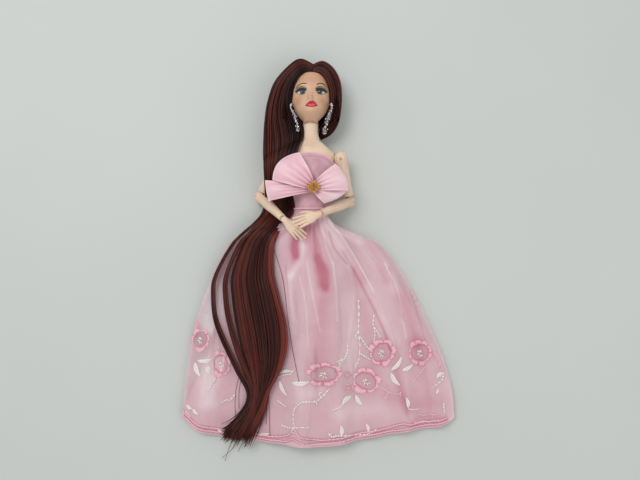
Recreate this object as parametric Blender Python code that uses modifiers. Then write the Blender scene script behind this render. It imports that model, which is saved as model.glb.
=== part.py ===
"""A jointed fashion doll in a bow-fronted gown, lying on its back as it was put down.

Units are metres. +X is the doll's left, +Y the way its head points and +Z out of its chest.
The origin is on the surface that it lies on, under its hips.
"""

import math

import bmesh
import bpy
from mathutils import Matrix, Vector

GAP = 0.0003
OVERRUN = 0.0400
SMOOTH_ANGLE = math.radians(50)
X = Vector((1, 0, 0))
Y = Vector((0, 1, 0))
Z = Vector((0, 0, 1))

# Trunk and neck
CROTCH_Y = -0.0140
HIP_CREST_Y = 0.0100
WAIST_Y = 0.0225
BUST_Y = 0.0460
SHOULDER_Y = 0.0615
YOKE_Y = 0.0660
COLLAR_Y = 0.0700
NECK_BASE_Y = 0.0760
NECK_TOP_Y = 0.0865
TRUNK_Z = 0.0160
HIP_HALF_WIDTH = 0.0172
HIP_FRONT = 0.0092
HIP_BACK = 0.0140
WAIST_HALF_WIDTH = 0.0106
WAIST_FRONT = 0.0085
WAIST_BACK = 0.0090
BUST_HALF_WIDTH = 0.0160
BUST_FRONT = 0.0115
BUST_BACK = 0.0135
BUST_SWELL = 0.0042
BUST_SPACING = 0.0082
BUST_SPREAD = 0.0068
SHOULDER_HALF_WIDTH = 0.0178
YOKE_HALF_WIDTH = 0.0200
SHOULDER_FRONT = 0.0085
SHOULDER_BACK = 0.0120
NECK_RADIUS = 0.0056
NECK_Z = 0.0212
SHELL_WALL = 0.0016
WEB_HALF_WIDTH = 0.0029

# Head
HEAD_Y = 0.1049
HEAD_Z = 0.0205
HEAD_TILT = math.radians(15)
HEAD_HALF_WIDTH = 0.0143
HEAD_ABOVE = 0.0200
HEAD_BELOW = 0.0176
FACE_DEPTH = 0.0148
SKULL_DEPTH = 0.0160
HEAD_WALL = 0.0020
NOSE_LENGTH = 0.0030
EYE_SPACING = 0.0074
LIP_DROP = 0.0100

# Arms
SHOULDER_X = 0.0225
SHOULDER_JOINT_Y = 0.0622
SHOULDER_Z = 0.0175
SHOULDER_BALL = 0.0053
UPPER_ARM = 0.0352
UPPER_ARM_RADIUS = 0.0043
ELBOW_BALL = 0.0046
ELBOW_ROOM = 0.0052
FOREARM = 0.0366
FOREARM_RADIUS = 0.0040
WRIST_BALL = 0.0027
WRIST_ROOM = 0.0030
WRIST_RADIUS = 0.0027
HAND = 0.0212
PALM_LENGTH = 0.0105
PALM_HALF_WIDTH = 0.0042
PALM_THICKNESS = 0.0032
FINGER_RADIUS = 0.00105

# Legs
HIP_X = 0.0115
HIP_Y = -0.0030
HIP_Z = 0.0148
HIP_BALL = 0.0080
THIGH = 0.0620
THIGH_RADIUS = 0.0102
KNEE_BALL = 0.0060
KNEE_ROOM = 0.0068
SHIN = 0.0600
CALF_RADIUS = 0.0066
ANKLE_RADIUS = 0.0034
FOOT = 0.0270
FOOT_HALF_WIDTH = 0.0042
TOE_DEPTH = 0.0022
LEG_DROP_SHARE = -0.060

# Joint fittings: eye, peg, peg head and pin radii, and how far the peg reaches
SHOULDER_FITTING = (0.0027, 0.0015, 0.0026, 0.0008, 0.0105)
ELBOW_FITTING = (0.0023, 0.0011, 0.0018, 0.0007, 0.0112)
WRIST_FITTING = (0.0014, 0.0007, 0.0012, 0.0005, 0.0072)
HIP_FITTING = (0.0036, 0.0019, 0.0026, 0.0011, 0.0108)
KNEE_FITTING = (0.0031, 0.0016, 0.0025, 0.0009, 0.0135)
NECK_BALL = 0.0027
NECK_STEM = 0.0014
NECK_PLUG = 0.0036
NECK_PLUG_RISE = 0.0105
PEG_HEAD = 0.0014
FITTING_STEPS = 8

# How the limbs lie: the way each part points, away from the trunk
LEFT_UPPER_ARM_SHARES = (0.205, -0.930, -0.300)
LEFT_FOREARM_SHARES = (-0.645, -0.286, 0.709)
LEFT_HAND_SHARES = (-0.890, -0.370, 0.265)
RIGHT_UPPER_ARM_SHARES = (-0.470, -0.830, -0.300)
RIGHT_FOREARM_SHARES = (0.545, -0.495, 0.676)
RIGHT_HAND_SHARES = (0.690, -0.700, -0.120)

# Each joint's travel from that pose, in degrees
SHOULDER_SPREAD = (-4, 80)
LEFT_ELBOW_BEND = (-16, 12)
RIGHT_ELBOW_BEND = (-12, 12)
WRIST_BEND = (-30, 30)
HIP_SPREAD = (-2, 25)
KNEE_BEND = (0, 100)
NECK_NOD = (-12, 12)

# Gown
CLOTH = 0.0005
SKIRT_WAIST_HALF_WIDTH = 0.0112
SKIRT_LEFT_REACH = 0.1110
SKIRT_RIGHT_REACH = 0.0995
SKIRT_LENGTH = 0.1840
LINING_OFFSET = 0.0003
OVERSKIRT_OFFSET = 0.0012
OVERSKIRT_PUFF = 0.0014
FOLD_HEIGHT = 0.0042
SKIRT_EDGE_LIFT = 0.0024
SKIRT_STACK = OVERSKIRT_OFFSET + CLOTH
LEG_COVER = 0.0008
CLEAR_OF_TRUNK = 0.0004
OVERSKIRT_SHORT = 0.0040
BODICE_OFFSET = 0.0004
BODICE_THICKNESS = 0.0008
BODICE_TOP_RISE = 0.0083
BODICE_SIDE_Y = 0.0545
BACK_OFFSET = 0.0013
PIPING_RADIUS = 0.0005

# Bow and its stone
KNOT = (0.0022, 0.0388, 0.0330)
BOW_THICKNESS = 0.0016
BOW_ROOT_HALF_WIDTH = 0.0030
BOW_TAIL_DROP = 0.0021
BOW_REACH = 0.0362
BOW_RISE = 0.0040
GEM_HALF_SIDE = 0.0038
GEM_BASE = 0.0008
GEM_RISE = 0.0016
GEM_LIFT = 0.0028
BEAD_RADIUS = 0.0006

# Hair
HAIR_TOP = 0.0325
HAIR_SIDE = 0.0225
HAIR_NAPE = 0.0125
HAIR_BACK_GAP = 0.0009
HAIR_FACE_HALF_WIDTH = 0.0138
HAIR_CLEARANCE = 0.0007
PARTING = 0.0030
FALL_THICKNESS = 0.0060
FALL_REACH = 0.0760
FALL_RISE = 0.0262
FALL_CLEARANCE = 0.0010
FALL_TOP_Y = 0.1285
FALL_SPLIT_Y = 0.0330
FALL_END_Y = -0.1520
LOCK_X = 0.0188
LOCK_TOP_Y = 0.0866
LOCK_Z = 0.0105
LOCK_CURL = 0.0105
LOCK_DROP = 0.0130
LOCK_HALF_WIDTH = 0.0034

# Earrings
EAR_HALF_SPAN = 0.0158
EAR_Y = 0.1005
EAR_Z = 0.0292
EAR_POST = 0.0046
EARRING_LENGTH = 0.0190
STONE_RADIUS = 0.0009
POST_TILT = math.radians(38)
EARRING_LEAN = 0.22
HOOK_RADIUS = 0.0004


def start_empty():
    """Remove whatever the file holds."""
    for old in list(bpy.data.objects):
        bpy.data.objects.remove(old, do_unlink=True)


def group(name):
    """A collection in the scene."""
    made = bpy.data.collections.new(name)
    bpy.context.scene.collection.children.link(made)
    return made


def plain(name, colour, roughness, metallic=0.0):
    """A Principled material of one colour."""
    made = bpy.data.materials.new(name)
    made.use_nodes = True
    shader = made.node_tree.nodes["Principled BSDF"]
    shader.inputs["Base Color"].default_value = (*colour, 1)
    shader.inputs["Roughness"].default_value = roughness
    shader.inputs["Metallic"].default_value = metallic
    return made


start_empty()
DOLL = group("fashion_doll")
CUTTERS = group("cutters")
SKIN = plain("doll_skin", (0.76, 0.58, 0.47), 0.42)
FACE = plain("face_vinyl", (0.62, 0.40, 0.29), 0.45)
INNER = plain("joint_plastic", (0.70, 0.55, 0.46), 0.50)
STEEL = plain("pin_steel", (0.60, 0.60, 0.60), 0.35, 1.0)
HAIR = plain("doll_hair", (0.07, 0.022, 0.02), 0.40)
SATIN = plain("bodice_satin", (0.58, 0.33, 0.39), 0.38)
BOW = plain("bow_satin", (0.84, 0.57, 0.64), 0.35)
LINING = plain("lining_satin", (0.66, 0.30, 0.38), 0.45)
ORGANZA = plain("organza", (0.70, 0.48, 0.54), 0.50)
GOLD = plain("gem_gold", (0.75, 0.52, 0.25), 0.30, 1.0)
AMBER = plain("amber_stone", (0.55, 0.22, 0.03), 0.08)
CRYSTAL = plain("crystal", (0.80, 0.80, 0.82), 0.12, 0.6)
TAPE = plain("closure_tape", (0.80, 0.62, 0.66), 0.80)


def finished(mesh):
    """Shade a mesh smooth except at its sharp edges."""
    mesh.shade_smooth()
    mesh.set_sharp_from_angle(angle=SMOOTH_ANGLE)
    return mesh


def placed(name, mesh, material, parent=None):
    """One named piece of the doll, or a cutter when it has no material."""
    piece = bpy.data.objects.new(name, mesh)
    piece.parent = parent
    if material is None:
        CUTTERS.objects.link(piece)
        piece.hide_render = True
        piece.display_type = "WIRE"
    else:
        DOLL.objects.link(piece)
        mesh.materials.append(material)
    return piece


def axes(origin, up, pin):
    """The matrix with Z up the limb, X nearest to the pin, at origin."""
    up = up.normalized()
    pin = (pin - up * pin.dot(up)).normalized()
    turn = Matrix((pin, up.cross(pin), up)).transposed()
    return Matrix.Translation(origin) @ turn.to_4x4()


def pivot(name, origin, up, pin, parent=None):
    """An empty on a joint, its Z up the limb and its X along the joint's pin."""
    made = bpy.data.objects.new(name, None)
    DOLL.objects.link(made)
    world = axes(origin, up, pin)
    if parent:
        made.parent = parent
        world = world_of(parent).inverted() @ world
    made.matrix_basis = world
    return made


def world_of(piece):
    """Where an object stands, worked out through its parents."""
    if piece.parent:
        return world_of(piece.parent) @ piece.matrix_basis
    return piece.matrix_basis.copy()


def cut(piece, cutter, operation="DIFFERENCE"):
    """Add an exact Boolean with the cutter."""
    change = piece.modifiers.new(cutter.name, "BOOLEAN")
    change.object = cutter
    change.operation = operation
    change.solver = "EXACT"


def mesh_from(shape, name):
    """Turn a bmesh into a finished mesh whose faces point out."""
    bmesh.ops.recalc_face_normals(shape, faces=shape.faces)
    mesh = bpy.data.meshes.new(name)
    shape.to_mesh(mesh)
    shape.free()
    return finished(mesh)


def loft(name, rings):
    """A closed body through rings of points, with a cap at each end."""
    shape = bmesh.new()
    loops = [[shape.verts.new(point) for point in ring] for ring in rings]
    for low, high in zip(loops, loops[1:]):
        for i in range(len(low)):
            j = (i + 1) % len(low)
            shape.faces.new((low[i], low[j], high[j], high[i]))
    shape.faces.new(loops[0])
    shape.faces.new(loops[-1])
    return mesh_from(shape, name)


def panel(name, upper, lower):
    """A closed sheet between two grids of points, such as cut cloth."""
    shape = bmesh.new()
    rows, columns = len(upper), len(upper[0])
    top = [[shape.verts.new(point) for point in row] for row in upper]
    under = [[shape.verts.new(point) for point in row] for row in lower]
    for r in range(rows - 1):
        for c in range(columns - 1):
            shape.faces.new((top[r][c], top[r][c + 1], top[r + 1][c + 1], top[r + 1][c]))
            shape.faces.new((under[r][c], under[r + 1][c], under[r + 1][c + 1], under[r][c + 1]))
    rim = [(0, c) for c in range(columns - 1)]
    rim += [(r, columns - 1) for r in range(rows - 1)]
    rim += [(rows - 1, c) for c in range(columns - 1, 0, -1)]
    rim += [(r, 0) for r in range(rows - 1, 0, -1)]
    for (r, c), (s, d) in zip(rim, rim[1:] + rim[:1]):
        shape.faces.new((top[s][d], top[r][c], under[r][c], under[s][d]))
    return mesh_from(shape, name)


def ring(centre, right, front, half_width, ahead, behind, sides):
    """Points round an egg-shaped section: half_width to each side, ahead and behind."""
    points = []
    for i in range(sides):
        angle = math.tau * i / sides
        rise = math.sin(angle)
        depth = ahead if rise > 0 else behind
        points.append(centre + right * (half_width * math.cos(angle)) + front * (depth * rise))
    return points


def through(stations, where):
    """A smooth curve through rows of (place, value, ...), read at a place."""
    rows = sorted(stations)
    k = 0
    while k < len(rows) - 2 and where > rows[k + 1][0]:
        k += 1
    low, high = rows[k], rows[k + 1]
    before, after = rows[max(k - 1, 0)], rows[min(k + 2, len(rows) - 1)]
    span = high[0] - low[0]
    t = min(max((where - low[0]) / span, 0), 1)
    values = []
    for a, b, c, d in zip(before[1:], low[1:], high[1:], after[1:]):
        slope_in = (c - a) * span / (high[0] - before[0])
        slope_out = (d - b) * span / (after[0] - low[0])
        eased = t * t * (3 - 2 * t)
        start = t * (1 - t) * (1 - t)
        end = t * t * (t - 1)
        values.append(b + (c - b) * eased + slope_in * start + slope_out * end)
    return values


def mix(a, b, share):
    """Part way from a to b."""
    return a + (b - a) * share


def eased(share):
    """0 to 1 with a soft start and end."""
    share = min(max(share, 0), 1)
    return share * share * (3 - 2 * share)


def bump(distance, spread):
    """1 at the middle of a swell, falling away over its spread."""
    return math.exp(-((distance / spread) ** 2))


def turned(name, profile, material, parent=None, steps=FITTING_STEPS):
    """A body turned about local Z from (radius, height) pairs, top to bottom."""
    mesh = bpy.data.meshes.new(name)
    mesh.from_pydata([(r, 0, h) for r, h in profile], [(i, i + 1) for i in range(len(profile) - 1)], [])
    piece = placed(name, mesh, material, parent)
    spin = piece.modifiers.new("turn", "SCREW")
    spin.axis = "Z"
    spin.steps = steps
    spin.render_steps = steps
    spin.use_merge_vertices = True
    spin.merge_threshold = 0.00001
    spin.use_smooth_shade = True
    return piece


def ball_profile(radius, low, high, count):
    """Arc points of a ball, between two angles from its top."""
    angles = [mix(low, high, i / count) for i in range(count + 1)]
    return [(radius * math.sin(a), radius * math.cos(a)) for a in angles]


def cylinder(name, radius, length, material, parent=None, sides=8):
    """A cylinder centred on its parent, along local X."""
    shape = bmesh.new()
    bmesh.ops.create_cone(
        shape,
        cap_ends=True,
        segments=sides,
        radius1=radius,
        radius2=radius,
        depth=length,
        matrix=Matrix.Rotation(math.radians(90), 4, "Y"),
    )
    return placed(name, mesh_from(shape, name), material, parent)


def ball(name, radius, place, material, parent=None, rings=8):
    """A ball at a place in its parent's frame."""
    shape = bmesh.new()
    bmesh.ops.create_uvsphere(shape, u_segments=2 * rings, v_segments=rings, radius=radius)
    piece = placed(name, mesh_from(shape, name), material, parent)
    piece.location = place
    return piece


def block(name, low, high, parent=None):
    """A box cutter between two corners."""
    shape = bmesh.new()
    bmesh.ops.create_cube(shape, size=1)
    size = high - low
    middle = (low + high) / 2
    bmesh.ops.transform(
        shape, matrix=Matrix.Translation(middle) @ Matrix.Diagonal((*size, 1)), verts=shape.verts
    )
    return placed(name, mesh_from(shape, name), None, parent)


def sector(name, start, end, radius, half_width, parent):
    """A pie slot round local X, its angles measured from local Z."""
    count = 10
    shape = bmesh.new()
    sides = []
    for across in (-half_width, half_width):
        hub = shape.verts.new((across, 0, 0))
        rim = []
        for i in range(count + 1):
            angle = mix(start, end, i / count)
            rim.append(shape.verts.new((across, -radius * math.sin(angle), radius * math.cos(angle))))
        sides.append([hub, *rim])
    near, far = sides
    shape.faces.new(near)
    shape.faces.new(far)
    for i in range(len(near)):
        j = (i + 1) % len(near)
        shape.faces.new((near[i], near[j], far[j], far[i]))
    return placed(name, mesh_from(shape, name), None, parent)


def peg_profile(fitting, spare=0.0):
    """A peg's outline with its head and its eye, or the bore for it."""
    eye, peg, head, _, reach = fitting
    outline = [(0, reach + spare), (head + spare, reach + spare)]
    outline.append((head + spare, reach - PEG_HEAD - spare))
    outline.append((peg + spare, reach - PEG_HEAD - spare))
    if spare:
        return outline + [(peg + spare, 0), (0, 0)]
    meet = math.asin(peg / eye)
    return outline + ball_profile(eye, meet, math.pi, 5)[:-1] + [(0, -eye)]


def link(name, fitting, frame, host=None):
    """A peg that turns in its host, with an eye that a pin goes through."""
    piece = turned(name, peg_profile(fitting), INNER, frame)
    bore = cylinder(name + "_pin_bore", fitting[3] + GAP, 3 * fitting[0], None, frame)
    cut(piece, bore)
    for part in host or []:
        cut(part, turned(name + "_bore_" + part.name, peg_profile(fitting, GAP), None, frame))
    return piece


def seat(piece, name, fitting, frame, peg_up, travel, ball_radius):
    """Hollow a limb's ball for the eye, the peg's sweep and the pin, and make the pin."""
    eye, peg, _, pin, _ = fitting
    world = world_of(frame).to_3x3()
    local = world.inverted() @ peg_up
    rest = math.atan2(-local.y, local.z)
    margin = math.asin((peg + GAP) / (eye + GAP))
    low = rest - math.radians(travel[1]) - margin
    high = rest - math.radians(travel[0]) + margin
    room = (eye + GAP) / math.cos(math.pi / 10)
    cut(piece, ball(name + "_eye_room", room, (0, 0, 0), None, frame, 5))
    cut(piece, sector(name + "_slot", low, high, 2 * ball_radius, peg + GAP, frame))
    pin_length = 2 * math.sqrt(ball_radius**2 - (2 * pin) ** 2) - 2 * GAP
    cut(piece, cylinder(name + "_pin_hole", pin + GAP, 3 * ball_radius, None, frame))
    return cylinder(name + "_pin", pin, pin_length, STEEL, frame)


def limb(name, frame, ball_radius, stations, rings, sides, material, lean=(0, 0)):
    """A limb hanging from its ball: rows of place, half width, front and back depth."""
    levels = [math.radians(a) for a in (16, 42, 68)]
    body = [
        ring(Vector((0, 0, ball_radius * math.cos(a))), X, -Y, *[ball_radius * math.sin(a)] * 3, sides)
        for a in levels
    ]
    first, last = stations[0][0], stations[-1][0]
    for i in range(rings + 1):
        place = mix(first, last, i / rings)
        width, front, back, side_shift, front_shift = through(stations, place)
        centre = Vector((side_shift, -front_shift, -place))
        body.append(ring(centre, X, -Y, width, front, back, sides))
    return placed(name, loft(name, body), material, frame)


def build_trunk():
    """Front and back shells of the trunk with the neck, hollow and split at the side line."""
    stations = [
        (CROTCH_Y, WEB_HALF_WIDTH, HIP_FRONT * 0.55, HIP_BACK * 0.55, HIP_Z),
        (HIP_Y, HIP_HALF_WIDTH * 0.92, HIP_FRONT, HIP_BACK * 0.90, TRUNK_Z),
        (HIP_CREST_Y, HIP_HALF_WIDTH, HIP_FRONT, HIP_BACK, TRUNK_Z),
        (WAIST_Y, WAIST_HALF_WIDTH, WAIST_FRONT, WAIST_BACK, TRUNK_Z),
        (BUST_Y, BUST_HALF_WIDTH, BUST_FRONT, BUST_BACK, TRUNK_Z),
        (SHOULDER_Y, SHOULDER_HALF_WIDTH, SHOULDER_FRONT, SHOULDER_BACK, TRUNK_Z),
        (YOKE_Y, YOKE_HALF_WIDTH, SHOULDER_FRONT * 0.80, SHOULDER_BACK * 0.75, mix(TRUNK_Z, NECK_Z, 0.15)),
        (COLLAR_Y, SHOULDER_HALF_WIDTH * 0.70, NECK_RADIUS, NECK_RADIUS * 1.2, mix(TRUNK_Z, NECK_Z, 0.3)),
        (NECK_BASE_Y, NECK_RADIUS * 1.12, NECK_RADIUS, NECK_RADIUS, mix(TRUNK_Z, NECK_Z, 0.5)),
        (NECK_TOP_Y, NECK_RADIUS, NECK_RADIUS, NECK_RADIUS, NECK_Z),
    ]
    return stations


def trunk_point(stations, y, angle, offset):
    """A point on the trunk's skin at an angle from the doll's left, moved out by an offset."""
    width, front, back, height = through(stations, y)
    rise = math.sin(angle)
    depth = front if rise > 0 else back
    x = (width + offset) * math.cos(angle)
    z = height + (depth + offset) * rise
    if rise > 0:
        swell = bump(abs(x) - BUST_SPACING, BUST_SPREAD) * bump(y - BUST_Y, BUST_SPREAD)
        z += BUST_SWELL * swell * rise
    return Vector((x, y, z))


def trunk_body(name, stations, low, high, rows, sides, offset, dome):
    """A loft of the trunk's sections, with the neck's domed end if asked."""
    rings = []
    for i in range(rows + 1):
        y = mix(low, high, i / rows)
        rings.append([trunk_point(stations, y, math.tau * k / sides, offset) for k in range(sides)])
    if dome:
        radius = NECK_RADIUS + offset
        for a in (62, 32):
            turn = math.radians(a)
            centre = Vector((0, NECK_TOP_Y + radius * math.cos(turn), NECK_Z))
            rings.append(ring(centre, X, Z, *[radius * math.sin(turn)] * 3, sides))
    return loft(name, rings)


TRUNK = build_trunk()
HEAD_UP = Vector((0, math.cos(HEAD_TILT), -math.sin(HEAD_TILT)))
HEAD_AHEAD = Vector((0, math.sin(HEAD_TILT), math.cos(HEAD_TILT)))
HEAD_CENTRE = Vector((0, HEAD_Y, HEAD_Z))
NECK_CENTRE = Vector((0, NECK_TOP_Y, NECK_Z))
LEG_DOWN = Vector((0, -1, LEG_DROP_SHARE)).normalized()


def make_trunk():
    """Cut the shells and give them their sockets for hubs and neck."""
    hollow = trunk_body(
        "trunk_hollow", TRUNK, HIP_CREST_Y, NECK_BASE_Y - NECK_RADIUS, 7, 12, -SHELL_WALL, False
    )
    shells = {}
    for name, low, high in (
        ("torso_front_shell", TRUNK_Z + GAP / 2, OVERRUN),
        ("torso_back_shell", -OVERRUN, TRUNK_Z - GAP / 2),
    ):
        outer = trunk_body(name, TRUNK, CROTCH_Y, NECK_TOP_Y, 18, 20, 0.0, True)
        shell = placed(name, outer, SKIN)
        corner = Vector((2 * OVERRUN, 4 * OVERRUN, 0))
        half = block(name + "_half", -corner + Z * low, corner + Z * high)
        cut(shell, half, "INTERSECT")
        cut(shell, placed(name + "_hollow", hollow, None))
        shells[name] = shell
    return list(shells.values())


def leg_room(name, centre, radius, out):
    """The space beside the pelvis that a thigh sweeps from straight down to straight ahead."""
    count = 6
    outline = [(-OVERRUN, OVERRUN), (-OVERRUN, -radius)]
    for i in range(count + 1):
        turn = math.pi / 2 * i / count
        outline.append((radius * math.sin(turn), -radius * math.cos(turn)))
    outline.append((radius, OVERRUN))
    rings = []
    for x in (out * WEB_HALF_WIDTH, out * OVERRUN):
        rings.append([Vector((x, centre.y + y, centre.z + z)) for y, z in outline])
    return placed(name, loft(name, rings), None)


def make_neck(shells):
    """The knob that carries the head, seated by a ball and a pin in the neck's dome."""
    frame = pivot("neck_nod_axis", NECK_CENTRE, HEAD_UP, X)
    rise = NECK_PLUG_RISE
    meet = math.asin(NECK_STEM / NECK_BALL)
    outline = [(0, rise), (NECK_PLUG * 0.7, rise), (NECK_PLUG, rise - PEG_HEAD)]
    outline += [(NECK_PLUG, rise - 2 * PEG_HEAD), (NECK_STEM, rise - 2.5 * PEG_HEAD)]
    outline += ball_profile(NECK_BALL, meet, math.pi, 5)[:-1] + [(0, -NECK_BALL)]
    knob = turned("neck_knob", outline, INNER, frame)
    cut(knob, cylinder("neck_knob_pin_bore", 0.3 * NECK_BALL + GAP, 3 * NECK_BALL, None, frame))
    cylinder("neck_pin", 0.3 * NECK_BALL, 1.7 * NECK_RADIUS, STEEL, frame)
    slope = math.tan(math.radians(NECK_NOD[1] + 10))
    reach = 2 * NECK_RADIUS
    seat_radius = NECK_BALL + GAP
    room = [(0, reach), (seat_radius + reach * slope, reach)]
    room += ball_profile(seat_radius, math.radians(52), math.pi, 6)[:-1] + [(0, -seat_radius)]
    for shell in shells:
        cut(shell, turned("neck_stem_room_" + shell.name, room, None, frame))
        hole = cylinder("neck_pin_hole_" + shell.name, 0.3 * NECK_BALL + GAP, 3 * NECK_RADIUS, None, frame)
        hole.rotation_euler.x = math.radians(9)
        cut(shell, hole)
    return frame


HEAD_SECTION_SHARES = (
    # height (of the part above or below the eyes), half width, face depth, skull depth
    (0.995, 0.12, 0.10, 0.14),
    (0.93, 0.44, 0.36, 0.50),
    (0.76, 0.75, 0.70, 0.79),
    (0.52, 0.94, 0.91, 0.96),
    (0.26, 1.00, 0.99, 1.00),
    (0.00, 0.99, 0.95, 0.98),
    (-0.23, 0.965, 0.985, 0.88),
    (-0.45, 0.86, 0.99, 0.70),
    (-0.65, 0.72, 0.98, 0.52),
    (-0.82, 0.54, 0.92, 0.40),
    (-0.94, 0.41, 0.74, 0.34),
    (-1.00, 0.36, 0.58, 0.32),
)


def head_point(height, angle, offset):
    """A point on the head's skin; height runs up from the eyes, angle from the doll's left."""
    share = height / (HEAD_ABOVE if height > 0 else HEAD_BELOW)
    width, face, skull = through(HEAD_SECTION_SHARES, share)
    x = (width * HEAD_HALF_WIDTH + offset) * math.cos(angle)
    rise = math.sin(angle)
    if rise > 0:
        ahead = (face * FACE_DEPTH + offset) * rise
        nose = bump(x, 0.16 * HEAD_HALF_WIDTH) * bump(height + 0.32 * HEAD_BELOW, 0.15 * HEAD_BELOW)
        bridge = bump(x, 0.13 * HEAD_HALF_WIDTH) * bump(height + 0.08 * HEAD_BELOW, 0.22 * HEAD_BELOW)
        lips = bump(x, 0.26 * HEAD_HALF_WIDTH) * bump(height + LIP_DROP, 0.12 * HEAD_BELOW)
        socket_dip = bump(abs(x) - EYE_SPACING, 0.24 * HEAD_HALF_WIDTH) * bump(height, 0.14 * HEAD_BELOW)
        chin = bump(x, 0.30 * HEAD_HALF_WIDTH) * bump(height + 0.86 * HEAD_BELOW, 0.12 * HEAD_BELOW)
        ahead += NOSE_LENGTH * (nose + 0.45 * bridge + 0.38 * lips - 0.42 * socket_dip + 0.30 * chin)
    else:
        ahead = (skull * SKULL_DEPTH + offset) * rise
    return HEAD_CENTRE + X * x + HEAD_UP * height + HEAD_AHEAD * ahead


def head_body(name, offset, low, high, rows, sides):
    """A loft of the head's sections between two heights."""
    rings = []
    for i in range(rows + 1):
        height = mix(low, high, i / rows)
        rings.append([head_point(height, math.tau * k / sides, offset) for k in range(sides)])
    return loft(name, rings)


def make_head(neck_frame):
    """The hollow vinyl head, with the hole that the knob holds."""
    top = 0.995 * HEAD_ABOVE
    skin = placed("head", head_body("head", 0.0, -HEAD_BELOW, top, 16, 22), FACE)
    hollow = head_body(
        "head_hollow", -HEAD_WALL, -0.55 * HEAD_BELOW, top - 1.3 * HEAD_WALL, 6, 10
    )
    cut(skin, placed("head_hollow", hollow, None))
    cut(skin, ball("head_neck_seat", NECK_RADIUS + GAP, NECK_CENTRE, None, None, 8))
    rise = NECK_PLUG_RISE
    spare = 2 * GAP
    outline = [(0, HEAD_BELOW), (NECK_PLUG + spare, HEAD_BELOW)]
    outline += [(NECK_PLUG + spare, rise - 2.5 * PEG_HEAD - spare)]
    outline += [(NECK_STEM + spare, rise - 2.5 * PEG_HEAD - 2 * spare), (NECK_STEM + spare, 0), (0, 0)]
    cut(skin, turned("head_plug_room", outline, None, neck_frame))
    return skin


def make_arm(side, shells):
    """One arm from hub to hand, with its pins; gives back where its elbow and wrist are."""
    left = side == "left"
    out = 1 if left else -1
    upper_way = Vector(LEFT_UPPER_ARM_SHARES if left else RIGHT_UPPER_ARM_SHARES).normalized()
    lower_way = Vector(LEFT_FOREARM_SHARES if left else RIGHT_FOREARM_SHARES).normalized()
    hand_way = Vector(LEFT_HAND_SHARES if left else RIGHT_HAND_SHARES).normalized()
    shoulder = Vector((out * SHOULDER_X, SHOULDER_JOINT_Y, SHOULDER_Z))
    elbow = shoulder + upper_way * UPPER_ARM
    wrist = elbow + lower_way * FOREARM
    inward = -out * X

    spread_pin = upper_way.cross(inward) * out
    elbow_pin = upper_way.cross(lower_way)
    wrist_pin = lower_way.cross(hand_way)

    hub_frame = pivot(side + "_shoulder_swing_axis", shoulder, inward, spread_pin)
    for shell in shells:
        cut(shell, ball(f"{side}_shoulder_seat_{shell.name}", SHOULDER_BALL + GAP, shoulder, None, None, 8))
    link(side + "_shoulder_hub", SHOULDER_FITTING, hub_frame, shells)

    upper_frame = pivot(side + "_shoulder_spread_axis", shoulder, -upper_way, spread_pin, hub_frame)
    end = UPPER_ARM - ELBOW_ROOM
    radius = UPPER_ARM_RADIUS
    stations = [
        (0.10 * SHOULDER_BALL, *[SHOULDER_BALL] * 3, 0, 0),
        (0.20 * end, *[1.06 * radius] * 3, 0, 0),
        (0.45 * end, *[1.02 * radius] * 3, 0, 0),
        (0.80 * end, *[0.92 * radius] * 3, 0, 0),
        (end, *[0.98 * radius] * 3, 0, 0),
    ]
    upper = limb(side + "_upper_arm", upper_frame, SHOULDER_BALL, stations, 6, 12, SKIN)
    travel = (-SHOULDER_SPREAD[1], -SHOULDER_SPREAD[0]) if left else SHOULDER_SPREAD
    seat(upper, side + "_shoulder", SHOULDER_FITTING, upper_frame, inward, travel, SHOULDER_BALL)

    swivel_frame = pivot(side + "_elbow_swivel_axis", elbow, -upper_way, elbow_pin, upper_frame)
    link(side + "_elbow_link", ELBOW_FITTING, swivel_frame, [upper])

    lower_frame = pivot(side + "_elbow_axis", elbow, -lower_way, elbow_pin, swivel_frame)
    end = FOREARM - WRIST_ROOM
    radius = FOREARM_RADIUS
    stations = [
        (0.10 * ELBOW_BALL, *[ELBOW_BALL] * 3, 0, 0),
        (0.16 * end, 0.96 * radius, 0.92 * radius, 0.96 * radius, 0, 0),
        (0.38 * end, *[1.00 * radius] * 3, 0, 0),
        (0.72 * end, *[0.80 * radius] * 3, 0, 0),
        (end, *[WRIST_RADIUS] * 3, 0, 0),
    ]
    lower = limb(side + "_forearm", lower_frame, ELBOW_BALL, stations, 6, 12, SKIN)
    travel = LEFT_ELBOW_BEND if left else RIGHT_ELBOW_BEND
    seat(lower, side + "_elbow", ELBOW_FITTING, lower_frame, -upper_way, travel, ELBOW_BALL)

    turn_frame = pivot(side + "_wrist_swivel_axis", wrist, -lower_way, wrist_pin, lower_frame)
    link(side + "_wrist_link", WRIST_FITTING, turn_frame, [lower])

    hand_frame = pivot(side + "_wrist_axis", wrist, -hand_way, wrist_pin, turn_frame)
    hand = make_hand(side, hand_frame, out)
    seat(hand, side + "_wrist", WRIST_FITTING, hand_frame, -lower_way, WRIST_BEND, WRIST_BALL)
    return elbow, wrist


# Each finger leaves the palm at a share of its half width and runs to a share of the hand
FINGER_SHARES = (
    (0.82, 0.98, 0.90),
    (0.30, 0.36, 1.00),
    (-0.26, -0.30, 0.96),
    (-0.78, -0.92, 0.80),
)


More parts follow.
